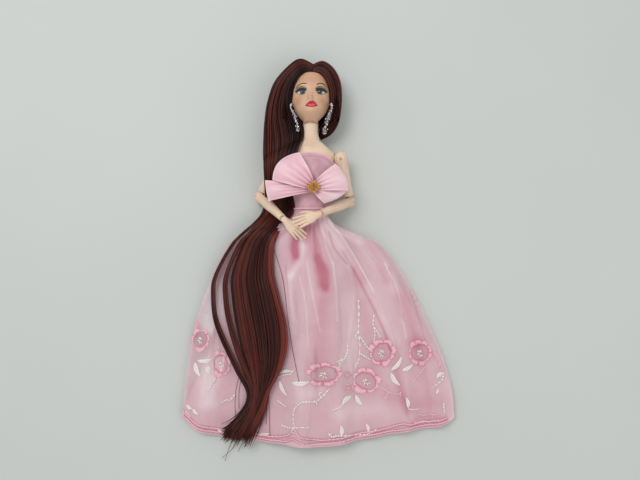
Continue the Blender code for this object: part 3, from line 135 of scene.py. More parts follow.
def material(
    name, dark, light, scale, roughness, relief=0.0, fine=8, stretch=(1, 1, 1), tint=None, **sockets
):
    """A material whose colour drifts between two, with a fine relief and varied roughness."""
    made = bpy.data.materials.new(name)
    made.use_nodes = True
    links = made.node_tree.links
    shader = made.node_tree.nodes["Principled BSDF"]
    place = shader_node(made, "TexCoord").outputs["Object"]
    lay = shader_node(made, "Mapping", Scale=stretch, Vector=place).outputs["Vector"]
    drift = shader_node(made, "TexNoise", Scale=scale, Detail=5, Vector=lay).outputs["Fac"]
    ramp = shader_node(made, "ValToRGB")
    ends = (0.0, 1.0) if tint else (0.3, 0.7)
    for element, end, colour in zip(ramp.color_ramp.elements, ends, (dark, light)):
        element.position = end
        element.color = (*linear(*colour), 1)
    if tint:
        read = shader_node(made, "Attribute")
        read.attribute_name = tint
        lower = shader_node(made, "Math")
        lower.operation = "SUBTRACT"
        lower.inputs[1].default_value = DRIFT_SHARE / 2
        links.new(read.outputs["Fac"], lower.inputs[0])
        both = shader_node(made, "Math")
        both.operation = "MULTIPLY_ADD"
        both.inputs[1].default_value = DRIFT_SHARE
        links.new(drift, both.inputs[0])
        links.new(lower.outputs[0], both.inputs[2])
        drift = both.outputs[0]
    links.new(drift, ramp.inputs["Fac"])
    links.new(ramp.outputs["Color"], shader.inputs["Base Color"])
    grain = shader_node(made, "TexNoise", Scale=scale * fine, Detail=6, Vector=lay).outputs["Fac"]
    least, most = max(roughness - ROUGHNESS_DRIFT, 0.02), roughness + ROUGHNESS_DRIFT
    rough = shader_node(made, "MapRange", To_Min=least, To_Max=most, Value=grain)
    links.new(rough.outputs["Result"], shader.inputs["Roughness"])
    if relief:
        raised = shader_node(made, "Bump", Distance=relief, Strength=0.6, Height=grain)
        links.new(raised.outputs["Normal"], shader.inputs["Normal"])
    for name, value in sockets.items():
        shader.inputs[name.replace("_", " ")].default_value = value
    return made


def threaded(made, scale, depth):
    """Add woven threads to a material's relief, on top of its grain."""
    links = made.node_tree.links
    shader = made.node_tree.nodes["Principled BSDF"]
    place = shader_node(made, "TexCoord").outputs["Object"]
    both = shader_node(made, "Math")
    both.operation = "MAXIMUM"
    for number, direction in enumerate("XY"):
        wave = shader_node(made, "TexWave", Scale=scale, Distortion=1.5, Detail=1, Vector=place)
        wave.bands_direction = direction
        links.new(wave.outputs["Fac"], both.inputs[number])
    raised = shader_node(made, "Bump", Distance=depth, Strength=0.5, Height=both.outputs[0])
    if shader.inputs["Normal"].links:
        links.new(shader.inputs["Normal"].links[0].from_socket, raised.inputs["Normal"])
    links.new(raised.outputs["Normal"], shader.inputs["Normal"])


FLESH = {"Subsurface_Weight": 0.08, "Subsurface_Scale": 0.002}
SKIN = material("skin", (224, 194, 168), (238, 212, 188), 90, 0.42, 0.00004, **FLESH)
FACE = material("face", (190, 138, 106), (228, 190, 160), 160, 0.44, 0.00003, tint="tint", **FLESH)
JOINT = material("joint", (214, 190, 168), (226, 204, 184), 200, 0.5, 0.00003)
STEEL = material("steel", (150, 150, 152), (188, 188, 190), 300, 0.35, Metallic=1.0)
LIPS = material("lips", (170, 26, 38), (198, 44, 56), 700, 0.22, 0.00003, Coat_Weight=0.4)
# A painted highlight for the lips.
LIP_HIGHLIGHT = material("lip_highlight", (214, 78, 88), (228, 104, 110), 700, 0.2, 0.00002, Coat_Weight=0.4)
EYE_WHITE = material("eye_white", (184, 184, 180), (212, 212, 208), 500, 0.2, Coat_Weight=0.5)
IRIS = material("iris", (34, 42, 42), (74, 86, 82), 1500, 0.15, Coat_Weight=0.8)
PUPIL = material("pupil", (14, 14, 16), (26, 24, 26), 900, 0.12, Coat_Weight=0.8)
LASH = material("lash", (30, 22, 22), (46, 34, 32), 900, 0.5)
BROW = material("brow", (58, 36, 28), (84, 54, 42), 900, 0.6, 0.00003)
SHADOW = material("eye_shadow", (104, 100, 70), (146, 136, 104), 1400, 0.35, 0.00002, Metallic=0.1)
HAIR = material(
    "hair", (24, 11, 9), (124, 54, 43), 220, 0.42, tint="tint", stretch=(1, 0.12, 1), Specular_IOR_Level=0.28
)
HAIR_BASE = material(
    "hair_base", (20, 10, 9), (44, 20, 17), 500, 0.8, 0.0003, stretch=(1, 0.08, 1), Specular_IOR_Level=0.05
)
SATIN = material("bodice_satin", (196, 144, 156), (220, 176, 187), 120, 0.36, 0.00005, Sheen_Weight=0.3)
threaded(SATIN, 2600, 0.00004)
BOW = material(
    "bow_satin", (222, 150, 168), (252, 232, 237), 110, 0.3, 0.00005, tint="tint", Sheen_Weight=0.4,
    Sheen_Roughness=0.3,
)
threaded(BOW, 2600, 0.00004)
LINING = material(
    "lining_satin", (224, 158, 174), (250, 216, 225), 60, 0.34, 0.00008, tint="tint", Sheen_Weight=0.3
)
threaded(LINING, 2400, 0.00005)
ORGANZA = material(
    "organza", (196, 96, 122), (254, 246, 249), 80, 0.42, 0.00012, tint="tint", Alpha=0.56, Sheen_Weight=0.5,
    Sheen_Roughness=0.35,
)
threaded(ORGANZA, 3000, 0.00006)
PINK_THREAD = material(
    "pink_thread", (196, 108, 132), (246, 196, 208), 260, 0.32, 0.0001, tint="tint", Sheen_Weight=0.4
)
WHITE_THREAD = material(
    "white_thread", (176, 162, 146), (254, 250, 244), 500, 0.35, 0.0001, tint="tint", Sheen_Weight=0.3
)
GOLD = material("gem_gold", (176, 128, 62), (232, 190, 112), 700, 0.26, 0.00003, Metallic=1.0)
AMBER = material(
    "amber", (150, 62, 14), (232, 142, 40), 600, 0.06, Coat_Weight=1.0, Transmission_Weight=0.25
)
CRYSTAL = material(
    "crystal", (206, 208, 216), (250, 250, 255), 1200, 0.06, Coat_Weight=1.0, Metallic=0.35
)
TAPE = material("closure_tape", (214, 184, 192), (232, 208, 214), 900, 0.85, 0.0002)
FLOOR = material("floor", (201, 205, 201), (204, 208, 204), 6, 0.7)


# Meshes


def mesh_piece(name, points, faces, made, body, tint=None, soft=True):
    """A piece from points and faces that rides on a body."""
    mesh = bpy.data.meshes.new(name)
    mesh.from_pydata([tuple(p) for p in points], [], faces)
    mesh.update()
    piece = bpy.data.objects.new(name, mesh)
    bpy.context.scene.collection.objects.link(piece)
    mesh.materials.append(made)
    if soft:
        mesh.shade_smooth()
    if tint is not None:
        shades = mesh.attributes.new("tint", "FLOAT", "POINT")
        shades.data.foreach_set("value", np.asarray(tint, np.float32).ravel())
    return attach(piece, body) if body else piece


def grid_faces(rows, columns, round_columns=False):
    """The quads of a grid of points."""
    index = np.arange(rows * columns).reshape(rows, columns)
    right = np.roll(index, -1, axis=1)
    if not round_columns:
        index, right = index[:, :-1], right[:, :-1]
    quads = np.stack([index[:-1], right[:-1], right[1:], index[1:]], axis=-1)
    return quads.reshape(-1, 4).tolist()


def grid_piece(name, points, made, body, tint=None, round_columns=False):
    """A surface through a grid of points."""
    points = np.asarray(points, float)
    rows, columns = points.shape[:2]
    return mesh_piece(name, points.reshape(-1, 3), grid_faces(rows, columns, round_columns), made, body, tint)


def strands(name, lines, made, body, sides=4):
    """Many round threads as one mesh: each line is its points, its radii and its tint."""
    points, faces, tints = [], [], []
    start = 0
    for line, radii, tint in lines:
        line = np.asarray(line, float)
        count = len(line)
        way = np.gradient(line, axis=0)
        way /= np.linalg.norm(way, axis=1)[:, None] + 1e-12
        side = np.cross(way, (0.02, 0.03, 1.0))
        side /= np.linalg.norm(side, axis=1)[:, None] + 1e-12
        up = np.cross(side, way)
        radii = np.broadcast_to(radii, count)[:, None, None]
        turn = np.linspace(0, math.tau, sides, endpoint=False)[None, :, None]
        ring = line[:, None, :] + radii * (np.cos(turn) * side[:, None, :] + np.sin(turn) * up[:, None, :])
        points.append(ring.reshape(-1, 3))
        faces += [[a + start for a in quad] for quad in grid_faces(count, sides, True)]
        faces.append([start + k for k in range(sides)][::-1])
        faces.append([start + (count - 1) * sides + k for k in range(sides)])
        tints.append(np.broadcast_to(tint, count).repeat(sides))
        start += count * sides
    return mesh_piece(name, np.concatenate(points), faces, made, body, np.concatenate(tints))


# The gown's surfaces, as the CAD model has them
TRUNK_Z, WAIST_Y, HIP_X, HIP_Y, HIP_Z = 0.0160, 0.0225, 0.0115, -0.0030, 0.0148
WAIST_HALF_WIDTH, WAIST_FRONT, WAIST_BACK = 0.0112, 0.0085, 0.0090
SKIRT_LEFT, SKIRT_RIGHT, SKIRT_LENGTH = 0.1110, 0.0995, 0.1840
# Shares of the skirt's reach down its sides, and of its length along its hem
LEFT_EDGE = (
    (0.0, 0.10), (0.08, 0.29), (0.16, 0.48), (0.28, 0.62), (0.47, 0.77), (0.60, 0.855), (0.72, 0.925),
    (0.88, 0.985), (1.0, 1.0),
)
RIGHT_EDGE = (
    (0.0, 0.11), (0.06, 0.42), (0.12, 0.59), (0.24, 0.715), (0.40, 0.82), (0.55, 0.90), (0.76, 0.96),
    (1.0, 1.0),
)
HEM = (
    (-1.0, 0.872), (-0.87, 0.926), (-0.63, 0.951), (-0.28, 0.972), (0.07, 0.980), (0.39, 0.956),
    (0.69, 0.924), (0.93, 0.900), (1.0, 0.876),
)
# Broad folds: place across the skirt, half width, share of the full height, where it starts down the skirt
FOLD_HEIGHT, CLEAR = 0.0042, 0.0004
FOLDS = (
    (-0.86, 0.08, 0.80, 0.25),
    (-0.58, 0.09, 0.85, 0.20),
    (-0.32, 0.08, 0.60, 0.15),
    (-0.07, 0.08, 0.75, 0.11),
    (0.22, 0.08, 1.00, 0.02),
    (0.44, 0.07, 0.55, 0.28),
    (0.66, 0.08, 1.00, 0.04),
    (0.89, 0.06, 0.75, 0.08),
)
# The trunk from hips to neck: place up it, half width, depth in front and behind, height of its middle
TRUNK = (
    (-0.0140, 0.0029, 0.0051, 0.0077, 0.0148),
    (-0.0030, 0.0158, 0.0092, 0.0126, 0.0160),
    (0.0100, 0.0172, 0.0092, 0.0140, 0.0160),
    (0.0225, 0.0106, 0.0085, 0.0090, 0.0160),
    (0.0460, 0.0160, 0.0115, 0.0135, 0.0160),
    (0.0615, 0.0178, 0.0085, 0.0120, 0.0160),
    (0.0660, 0.0200, 0.0068, 0.0090, 0.0168),
    (0.0700, 0.01246, 0.0056, 0.0067, 0.0176),
    (0.0760, 0.0063, 0.0056, 0.0056, 0.0186),
    (0.0865, 0.0056, 0.0056, 0.0056, 0.0212),
)


def trunk_point(y, angle, offset):
    """A point on the trunk's skin, moved out by an offset."""
    width, front, back, height = through(TRUNK, y)
    rise = math.sin(angle)
    depth = front if rise > 0 else back
    x = (width + offset) * math.cos(angle)
    z = height + (depth + offset) * rise
    if rise > 0:
        z += 0.0042 * bump(abs(x) - 0.0082, 0.0068) * bump(y - 0.0460, 0.0068) * rise
    return np.array((x, y, z))


def skirt_point(across, along, offset, front, short=0.0, narrow=1.0):
    """A point on the skirt; across runs -1 to 1 and along from the waist to the hem."""
    reach = (SKIRT_LEFT if across > 0 else SKIRT_RIGHT) * narrow
    edge = LEFT_EDGE if across > 0 else RIGHT_EDGE
    y = WAIST_Y - along * (through(HEM, across)[0] * SKIRT_LENGTH - short)
    x = across * reach * through(edge, along)[0]
    turn = (1 - across) * math.pi / 2
    sign = 1 if front else -1
    loose = float(eased(along / 0.16))
    waist_x = WAIST_HALF_WIDTH * math.cos(turn)
    waist_z = TRUNK_Z + sign * ((WAIST_FRONT if front else WAIST_BACK) * math.sin(turn) + 0.00015)
    if front:
        down = min(max((HIP_Y - y) / 0.149, 0), 1)
        radius = mix(0.0102, 0.0051, float(eased(down * 1.15)))
        top = HIP_Z - 0.060 * max(HIP_Y - y, 0) + radius + 0.0008
        lying = 0.0024 + (top - 0.0024) / (1 + (abs(x) / (1.42 * (HIP_X + radius))) ** 4)
        for place, spread, height, begin in FOLDS:
            grown = float(eased((along - begin) / 0.30)) * mix(0.35, 1, along)
            lying += FOLD_HEIGHT * height * grown * float(bump(across - place, spread))
    else:
        lying = 0.0017
    out = np.array((math.cos(turn) * (1 - loose), 0, sign * mix(math.sin(turn), 1, loose)))
    point = np.array((mix(waist_x, x, loose), y, mix(waist_z, lying, loose)))
    point += out / np.linalg.norm(out) * offset
    width, ahead, behind, height = through(TRUNK, y)
    reach = abs(point[0]) / (width + offset + CLEAR)
    if reach < 1:
        side = math.sqrt(1 - reach**2)
        if front:
            over = max(height + (ahead + offset + CLEAR) * side - point[2], 0)
            point[2] += over * float(eased((y + 0.140) / 0.055))
        else:
            point[2] = min(point[2], height - (behind + offset + CLEAR) * side)
    return point


# The panels as cut and the overskirt over the lining
OVER_OFFSET, OVER_SHORT, OVER_PUFF = 0.0015, 0.0018, 0.0014
# The web between the legs: where it starts below the hips, and one part in how many of a panel's columns
WEB_TOP, WEB_SHARE = -0.013, 40

# Fine creases of the overskirt in the photograph's frame: half width and height in millimetres, points
CREASES = (
    (1.3, 0.7, (319, 216), (322, 238), (332, 262), (335, 290), (335, 318)),
    (1.5, -0.7, (315, 222), (316, 240), (322, 260), (330, 283)),
    (1.8, -0.8, (342, 252), (356, 274), (370, 301), (382, 328), (390, 352)),
    (1.3, 0.7, (329, 219), (344, 240), (360, 266), (374, 292), (388, 322), (398, 356)),
    (1.3, 0.6, (338, 217), (364, 240), (386, 264), (398, 292), (408, 330), (418, 366)),
    (1.2, -0.6, (350, 234), (372, 256), (390, 286), (402, 320)),
    (1.8, -0.7, (296, 238), (296, 256), (292, 282), (296, 318)),
    (1.4, 0.6, (306, 232), (303, 256), (305, 292), (300, 336)),
    (1.6, 0.5, (350, 262), (356, 300), (350, 345), (356, 392)),
    (1.6, -0.5, (340, 300), (342, 340), (334, 388), (338, 428)),
    (1.6, 0.5, (320, 290), (316, 336), (312, 392), (306, 436)),
    (1.6, -0.5, (398, 340), (404, 372), (408, 404), (412, 424)),
    (1.6, 0.5, (416, 330), (426, 362), (432, 396), (434, 420)),
    (1.6, 0.5, (240, 250), (222, 290), (210, 340), (202, 400)),
    (1.6, -0.5, (232, 268), (216, 320), (214, 372), (222, 426)),
)
# How the overskirt's colour goes from rose to white, where the lining's rose shows through and as painted
# shade in the crease valleys and painted sheen along the ridges: change, half width in pixels, points
TONES_AND_PAINTED_LIGHT = (
    (-0.62, 4.6, (295, 240), (294.5, 248), (297, 256)),
    (-0.40, 5.5, (311, 228), (314, 245), (317, 262), (322, 284)),
    (-0.34, 4.0, (318, 258), (326, 272), (326, 288)),
    (-0.25, 2.2, (307, 224), (305, 242)),
    (-0.12, 9.0, (322, 300), (318, 335), (314, 360)),
    (0.34, 3.2, (300, 232), (303, 248), (299, 262), (291, 276)),
    (0.22, 6.0, (292, 276), (290, 300), (290, 330)),
    (0.30, 4.5, (325, 216), (336, 238), (350, 264)),
    (0.22, 6.5, (346, 228), (366, 246), (382, 264), (396, 290)),
    (0.16, 8.0, (350, 300), (352, 335), (346, 370)),
    (0.18, 7.0, (368, 290), (380, 315), (394, 340)),
    (-0.24, 4.6, (366, 246), (378, 260), (388, 282)),
    (-0.34, 1.5, (343, 252), (356, 274), (372, 305), (386, 335), (392, 352)),
    (-0.34, 0.9, (329, 232), (334, 248), (347, 264)),
    (-0.24, 1.0, (390, 268), (399, 296), (405, 322)),
    (-0.20, 0.8, (412, 290), (420, 318), (428, 345)),
    (-0.12, 5.0, (400, 285), (412, 318), (420, 345)),
    (0.45, 0.8, (328, 219), (344, 240), (360, 266), (374, 292)),
    (0.38, 0.9, (333, 262), (336, 290), (337, 320)),
    (0.34, 0.9, (386, 264), (398, 290), (404, 320), (408, 340)),
    (0.26, 1.0, (322, 224), (326, 246), (333, 264)),
    (0.22, 0.9, (307, 262), (312, 290), (320, 330)),
    (0.20, 0.8, (300, 275), (306, 305), (308, 345)),
    (-0.22, 0.8, (286, 265), (289, 300), (291, 350)),
    (-0.14, 8.0, (392, 400), (420, 408), (440, 404)),
    (0.20, 8.0, (240, 260), (222, 300), (208, 330)),
    (0.38, 9.0, (209, 294), (207, 310), (206, 326)),
    (0.36, 9.0, (209, 366), (207, 386), (206, 404)),
    (0.22, 9.0, (302, 391), (310, 392), (318, 391)),
    (0.18, 9.0, (340, 412), (360, 413), (380, 410)),
    (-0.30, 8.5, (418, 346), (421, 354)),
    (-0.30, 4.0, (397, 370), (402, 392), (408, 414)),
    (-0.16, 7.0, (388, 340), (396, 360)),
    (-0.14, 9.0, (383, 352), (384, 354)),
    (-0.12, 12.0, (325, 373), (326, 375)),
    (-0.12, 11.0, (367, 379), (368, 381)),
    (-0.18, 9.0, (200, 339), (201, 341)),
    (-0.14, 8.0, (218, 366), (219, 368)),
)


def near_routes(points, routes, unit):
    """The sum of soft strokes along pixel routes, at each point."""
    total = np.zeros(len(points))
    flat = points[:, :2]
    for first, second, *route in routes:
        width, height = (first, second) if unit == "crease" else (second * 0.77, first)
        line = np.array([seen(u, v, 0.016) for u, v in smooth(route, 22)])
        nearest = np.full(len(flat), 9.0)
        for a, b in zip(line[:-1], line[1:]):
            share = np.clip((flat - a) @ (b - a) / ((b - a) @ (b - a) + 1e-12), 0, 1)
            nearest = np.minimum(nearest, np.linalg.norm(flat - a - share[:, None] * (b - a), axis=1))
        total += height * bump(nearest, width * MM)
    return total


def skirt_sheet(
    name, made, node, offset, front, rows, columns, short=0.0, narrow=None, gathers=0.0, tones_and_light=None
):
    """One cloth panel of the skirt, with its gathers painted lighter on their crests and darker in their
    hollows, and, where it takes tones and painted light, its creases.
    """
    grid = np.zeros((rows + 1, columns + 1, 3))
    tint = np.zeros((rows + 1, columns + 1))
    for r in range(rows + 1):
        along = (r / rows) ** 1.25
        for c in range(columns + 1):
            across = mix(-1, 1, c / columns)
            squeeze = 1.0
            if narrow is not None and across < 0:
                squeeze = mix(narrow - 0.07, 1.0, float(eased((along - 0.62) / 0.38)))
            elif narrow is not None:
                squeeze = mix(narrow, 1.0, float(eased((along - 0.3) / 0.6)))
            puff = OVER_PUFF * float(eased(1.4 * along)) if made == ORGANZA and front else 0
            point = skirt_point(across, along, offset + puff, front, short * float(eased(along)), squeeze)
            near = math.exp(-5.5 * along) * float(eased(along / 0.05))
            wave = math.sin(38 * across + 2.2 * math.sin(6 * across)) * near
            wide = math.sin(17 * across + 3 * along + 1.0) * float(eased(along / 0.12)) * (1 - 0.65 * along)
            lift = gathers * (0.8 * wave + 0.3 * wide) * (1 - abs(across) ** 5)
            point[2] += max(lift, -0.4 * gathers) if front else 0
            grid[r, c] = point
            # Painted light and shade: lighter on the gathers' crests, darker in their hollows.
            tint[r, c] = 0.56 + 0.09 * wide + 0.10 * wave
    if tones_and_light is not None:
        flat = grid.reshape(-1, 3)
        lift = near_routes(flat, CREASES, "crease").reshape(tint.shape) * MM
        grid[..., 2] += lift * eased(np.arange(rows + 1) / rows / 0.06)[:, None]
        # Rose and white tones, with painted shade in the crease valleys and painted sheen along the ridges.
        tint += tones_and_light * near_routes(flat, TONES_AND_PAINTED_LIGHT, "tone").reshape(tint.shape)
    if not front:
        grid[..., 2] = np.maximum(grid[..., 2], 0.0)
    split_at_legs(name, made, node, grid, np.clip(tint, 0, 1).ravel())
    return grid


def split_at_legs(name, made, node, grid, tint):
    """Half a panel for each leg, and between the legs a web as a piece of its own."""
    rows, columns = grid.shape[0] - 1, grid.shape[1] - 1
    middle = columns // 2
    web = max(columns // WEB_SHARE, 2)
    first = int(np.argmax(grid[:, middle, 1] < WEB_TOP))
    quads = np.array(grid_faces(rows + 1, columns + 1)).reshape(rows, columns, 4)
    row, column = np.indices((rows, columns))
    for side, sign in (("right", -1), ("left", 1)):
        half = (column >= middle) == (side == "left")
        between = half & (row >= first) & (column >= middle - web) & (column < middle + web)
        pieces = []
        for part, wanted in (("", half & ~between), ("_middle", between)):
            used, faces = np.unique(quads[wanted], return_inverse=True)
            points = grid.reshape(-1, 3)[used]
            faces = faces.reshape(-1, 4).tolist()
            pieces.append(mesh_piece(f"{name}{part}_{side}", points, faces, made, None, tint[used]))
        cloth, hanging = pieces
        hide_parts(node)
        at_hip(cloth)
        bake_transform(hanging)


def at_hip(piece):
    """Cloth, stitches or hair over a leg, with its place baked into its points."""
    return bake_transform(piece)


def cloth_area(grid):
    """The area of a grid of points, in square metres."""
    a, b, c, d = grid[:-1, :-1], grid[:-1, 1:], grid[1:, 1:], grid[1:, :-1]
    first = np.linalg.norm(np.cross(b - a, c - a), axis=2) / 2
    second = np.linalg.norm(np.cross(c - a, d - a), axis=2) / 2
    return float(first.sum() + second.sum())


skirt_sheet(
    "skirt_lining_front", LINING, "lining_front", 0.0006, True, 120, 230,
    narrow=0.90, gathers=0.0005, tones_and_light=0.3,
)
skirt_sheet("skirt_lining_back", LINING, "lining_back", 0.0005, False, 40, 60, narrow=0.92)
over_grid = skirt_sheet(
    "overskirt_front_cloth", ORGANZA, "overskirt_front", OVER_OFFSET, True, 170, 330,
    OVER_SHORT, gathers=0.0011, tones_and_light=1.0,
)
skirt_sheet(
    "overskirt_back_cloth", ORGANZA, "overskirt_back", OVER_OFFSET, False, 40, 60, OVER_SHORT
)

OVER_TREE = BVHTree.FromPolygons(
    [tuple(p) for p in over_grid.reshape(-1, 3)], grid_faces(*over_grid.shape[:2]), all_triangles=False
)


def on_gown(x, y, lift=0.0, default=0.002):
    """The height of the overskirt's upper side over a place."""
    hit = OVER_TREE.ray_cast(Vector((x, y, 0.2)), Vector((0, 0, -1)))[0]
    return (hit.z if hit else default) + lift


def at(u, v, lift=0.0003):
    """The place on the gown that shows at a pixel of the photograph's frame."""
    z = 0.012
    for _ in range(5):
        x, y = seen(u, v, z)
        z = on_gown(x, y, lift)
    return np.array((x, y, z))


HEM_STEP = FIELD / PHOTO_WIDTH * (CAMERA_HEIGHT - over_grid[-1, :, 2]) / CAMERA_HEIGHT
HEM_U = PHOTO_MIDDLE[0] + (over_grid[-1, :, 0] - CAMERA_X) / HEM_STEP
HEM_V = PHOTO_MIDDLE[1] - over_grid[-1, :, 1] / HEM_STEP


def above_hem(u, v, gap):
    """A pixel's row, kept on the cloth."""
    return min(v, float(np.interp(u, HEM_U, HEM_V)) - gap)


def by_side(lines):
    """Threads sorted by the half of the gown they lie on, and cut at its middle."""
    halves = {"right": [], "left": []}
    for line, radii, tone in lines:
        line = np.asarray(line)
        radii, tone = np.broadcast_to(radii, len(line)), np.broadcast_to(tone, len(line))
        left = line[:, 0] > 0
        cuts = [0, *(np.nonzero(np.diff(left.astype(int)))[0] + 1), len(line)]
        for a, b in zip(cuts[:-1], cuts[1:]):
            if b - a > 2:
                halves["left" if left[a] else "right"].append((line[a:b], radii[a:b], tone[a:b]))
    return halves


def stitched(name, lines, made, sides):
    for side, threads in by_side(lines).items():
        at_hip(strands(f"{name}_{side}", threads, made, None, sides))


# Embroidery: how far a patch lies off the cloth, and the thread at a flower's centre, thin to thick to thin
STITCH_LIFT = 0.00012
PISTIL = (0.6, 1, 1.1, 1.2, 1.2, 1.1, 0.9, 0.4)
# Each flower's place, half sizes in pixels, lobes, turn and how deep its pink is
FLOWERS = (
    (324, 374.5, 18.5, 12.5, 9, 0.3, 0.55),
    (366, 381, 14.5, 13.5, 8, 0.9, 0.40),
    (382, 352.5, 13.6, 14.2, 8, 0.1, 0.45),
    (420, 352.5, 12.0, 13.6, 10, 0.5, 0.70),
    (200.3, 339.6, 9.4, 12.0, 7, 0.2, 0.45),
    (221, 364, 9.5, 14.0, 8, 0.8, 0.50),
    (348.8, 388.3, 4.8, 4.4, 5, 0.2, 0.50),
    (347.7, 375, 4.0, 4.0, 5, 0.9, 0.80),
)


def flower(number, u, v, wide, high, lobes, turn, depth):
    """A ring of satin-stitched petals with a darker inner edge and a white centre."""
    rings, around = 9, 264
    grid = np.zeros((rings, around, 3))
    tint = np.zeros((rings, around))
    for k in range(around):
        angle = math.tau * k / around
        phase = lobes * (angle + turn) / 2 + 0.7 * math.sin(2 * angle + turn) + 0.35 * math.sin(3 * angle + 2)
        petal = abs(math.sin(phase))
        uneven = 0.07 * math.sin(3 * angle + 2 * turn) + 0.04 * math.sin(5 * angle + number)
        lobe = 0.80 + 0.17 * petal**0.6 + uneven
        inner = 0.58 + 0.07 * math.sin(2 * angle + 3 * turn) + 0.09 * petal - 0.4 * uneven
        stitch = 0.5 + 0.5 * math.sin(math.tau * k / 6 + 1.5 * math.sin(0.37 * k))
        for r in range(rings):
            share = r / (rings - 1)
            radius = mix(inner, lobe + 0.03 * stitch, share)
            full = math.sin(math.pi * min(max(share, 0.04), 0.97)) ** 0.5
            raised = 0.00060 * full * mix(0.45, 1, petal) * mix(0.75, 1, stitch)
            place = u + wide * radius * math.cos(angle), v - high * radius * math.sin(angle)
            grid[r, k] = at(*place, STITCH_LIFT + raised)
            # Darker between the petals, between the stitches and at the outer rim, where the raised thread
            # dips: painted shade.
            tint[r, k] = 1.0 - 0.9 * bump(share, 0.22) - 0.7 * bump(petal, 0.24) - 0.34 * (1 - stitch)
            tint[r, k] -= 0.45 * bump(share - 1, 0.10) + 0.35 * (depth - 0.4)
    piece = grid_piece(f"flower_{number}", grid, PINK_THREAD, None, np.clip(tint, 0, 1), True)
    at_hip(piece)
    lines = []
    for k in range(9 if wide > 7 else 0):
        angle = turn + 2.4 * k
        near, far = 0.10 * (k % 3), 0.16 + 0.05 * (k * 7 % 5)
        points = []
        for share in (near, (near + far) / 2, far):
            place = u + wide * share * math.cos(angle), v - high * share * math.sin(angle)
            points.append(at(*place, 0.00035))
        lines.append((smooth(points, len(PISTIL)), np.array(PISTIL) * 0.00042, 0.55 + 0.1 * (k % 5)))
    return lines


def twig(points, radius=0.00056, taper=0.6):
    """A stem of white satin stitch along pixels, thicker and thinner from stitch to stitch."""
    count = 10 * len(points)
    line = np.array([at(u, v, 0.0003) for u, v in smooth(points, count)])
    beat = np.sin(np.arange(count) * 1.25 + points[0][0])
    radii = radius * np.linspace(1, taper, count) * (1 + 0.34 * beat)
    # Lighter where the stitch is thicker: painted light on its bulges.
    return line, radii, 0.72 + 0.25 * beat


def leaf_patch(u, v, angle, length, width):
    """A raised leaf of slanted stitches on both sides of its rib."""
    rows, columns = 24, 8
    way = np.array((math.cos(angle), -math.sin(angle)))
    side = np.array((math.sin(angle), math.cos(angle)))
    grid = np.zeros((rows + 1, columns + 1, 3))
    tint = np.zeros((rows + 1, columns + 1))
    for r in range(rows + 1):
        share = r / rows
        stitch = 0.5 + 0.5 * math.cos(math.pi * r / 1.5)
        half = width * (0.40 + 0.12 * stitch) * math.sin(math.pi * share**0.75) ** 0.8 + 0.1
        bend = 0.10 * length * math.sin(math.pi * share)
        for c in range(columns + 1):
            across = mix(-1, 1, c / columns)
            place = np.array((u, v)) + way * (length * share + 1.4 * abs(across))
            place += side * (half * across + bend)
            full = math.sqrt(max(1 - across * across, 0)) * (1 - 0.6 * bump(across, 0.2))
            grid[r, c] = at(*place, STITCH_LIFT + 0.00046 * full + 0.00010 * stitch)
            # Darker between the stitches and along the sunken rib: painted shade.
            tint[r, c] = 0.95 - 0.42 * (1 - stitch) - 0.35 * bump(across, 0.16)
    return grid, tint


def merged(name, rows, made, tone):
    """Leaves as one piece for each half of the gown."""
    patches = [leaf_patch(*row) for row in rows]
    for side in ("right", "left"):
        points, faces, tints, start = [], [], [], 0
        for grid, tint in patches:
            if (grid[..., 0].mean() > 0) != (side == "left"):
                continue
            points.append(grid.reshape(-1, 3))
            tints.append(np.clip(tint.ravel() * tone, 0, 1))
            faces += [[k + start for k in quad] for quad in grid_faces(*grid.shape[:2])]
            start += grid.shape[0] * grid.shape[1]
        piece = mesh_piece(f"{name}_{side}", np.concatenate(points), faces, made, None, np.concatenate(tints))
        at_hip(piece)


white = []
for number, row in enumerate(FLOWERS):
    white += flower(number, *row)
TWIGS = (
    ((358.5, 300), (359, 316), (358.5, 330), (360, 346), (358.5, 362)),
    ((360, 336), (365, 344), (370, 350)),
    ((359, 331), (355.5, 336), (357, 339), (359, 336)),
    ((359.5, 353), (366, 357), (371, 360)),
    ((358.5, 362), (355, 366), (357, 367)),
    ((374, 314), (373, 324), (375, 333), (374, 342)),
    ((374, 327), (378, 333), (380, 337), (381, 334)),
    ((347, 343), (347.5, 352), (344, 359), (338, 364)),
    ((343, 359), (339, 361), (336, 362)),
    ((341, 363), (339, 367)),
    ((329, 389), (322, 397), (314, 402), (302, 402)),
    ((322, 392), (319, 394), (321, 397)),
    ((316, 401), (317, 405)),
    ((317, 401.6), (308, 402), (301, 402.5), (296, 407), (293.4, 412), (293.4, 422), (295, 427.5)),
    ((281.4, 425), (288, 427.5), (295, 428), (309, 427.4)),
    ((295, 427), (292, 431), (295, 434)),
    ((216, 378), (212, 384), (207, 392)),
    ((235.4, 394), (230, 400), (226, 400), (220.5, 403.3)),
    ((185, 411), (188, 414), (190, 417)),
    ((443, 372), (442, 380), (433, 387)),
    ((441, 376), (438, 374)),
    ((443.5, 403), (444.5, 413)),
    ((331.5, 410.5), (338, 408), (343, 404.5)),
    ((328, 433), (332, 437), (337, 436), (344, 436), (355, 435), (365, 434.5), (370.5, 432.8), (377, 429)),
    ((329, 436), (332, 433)),
    ((277, 400), (282, 404), (286.5, 407)),
    ((294, 370), (290, 374), (284, 375), (278, 377)),
    ((408.5, 409), (413, 409.5), (419, 409)),
)
white += [twig(route) for route in TWIGS]
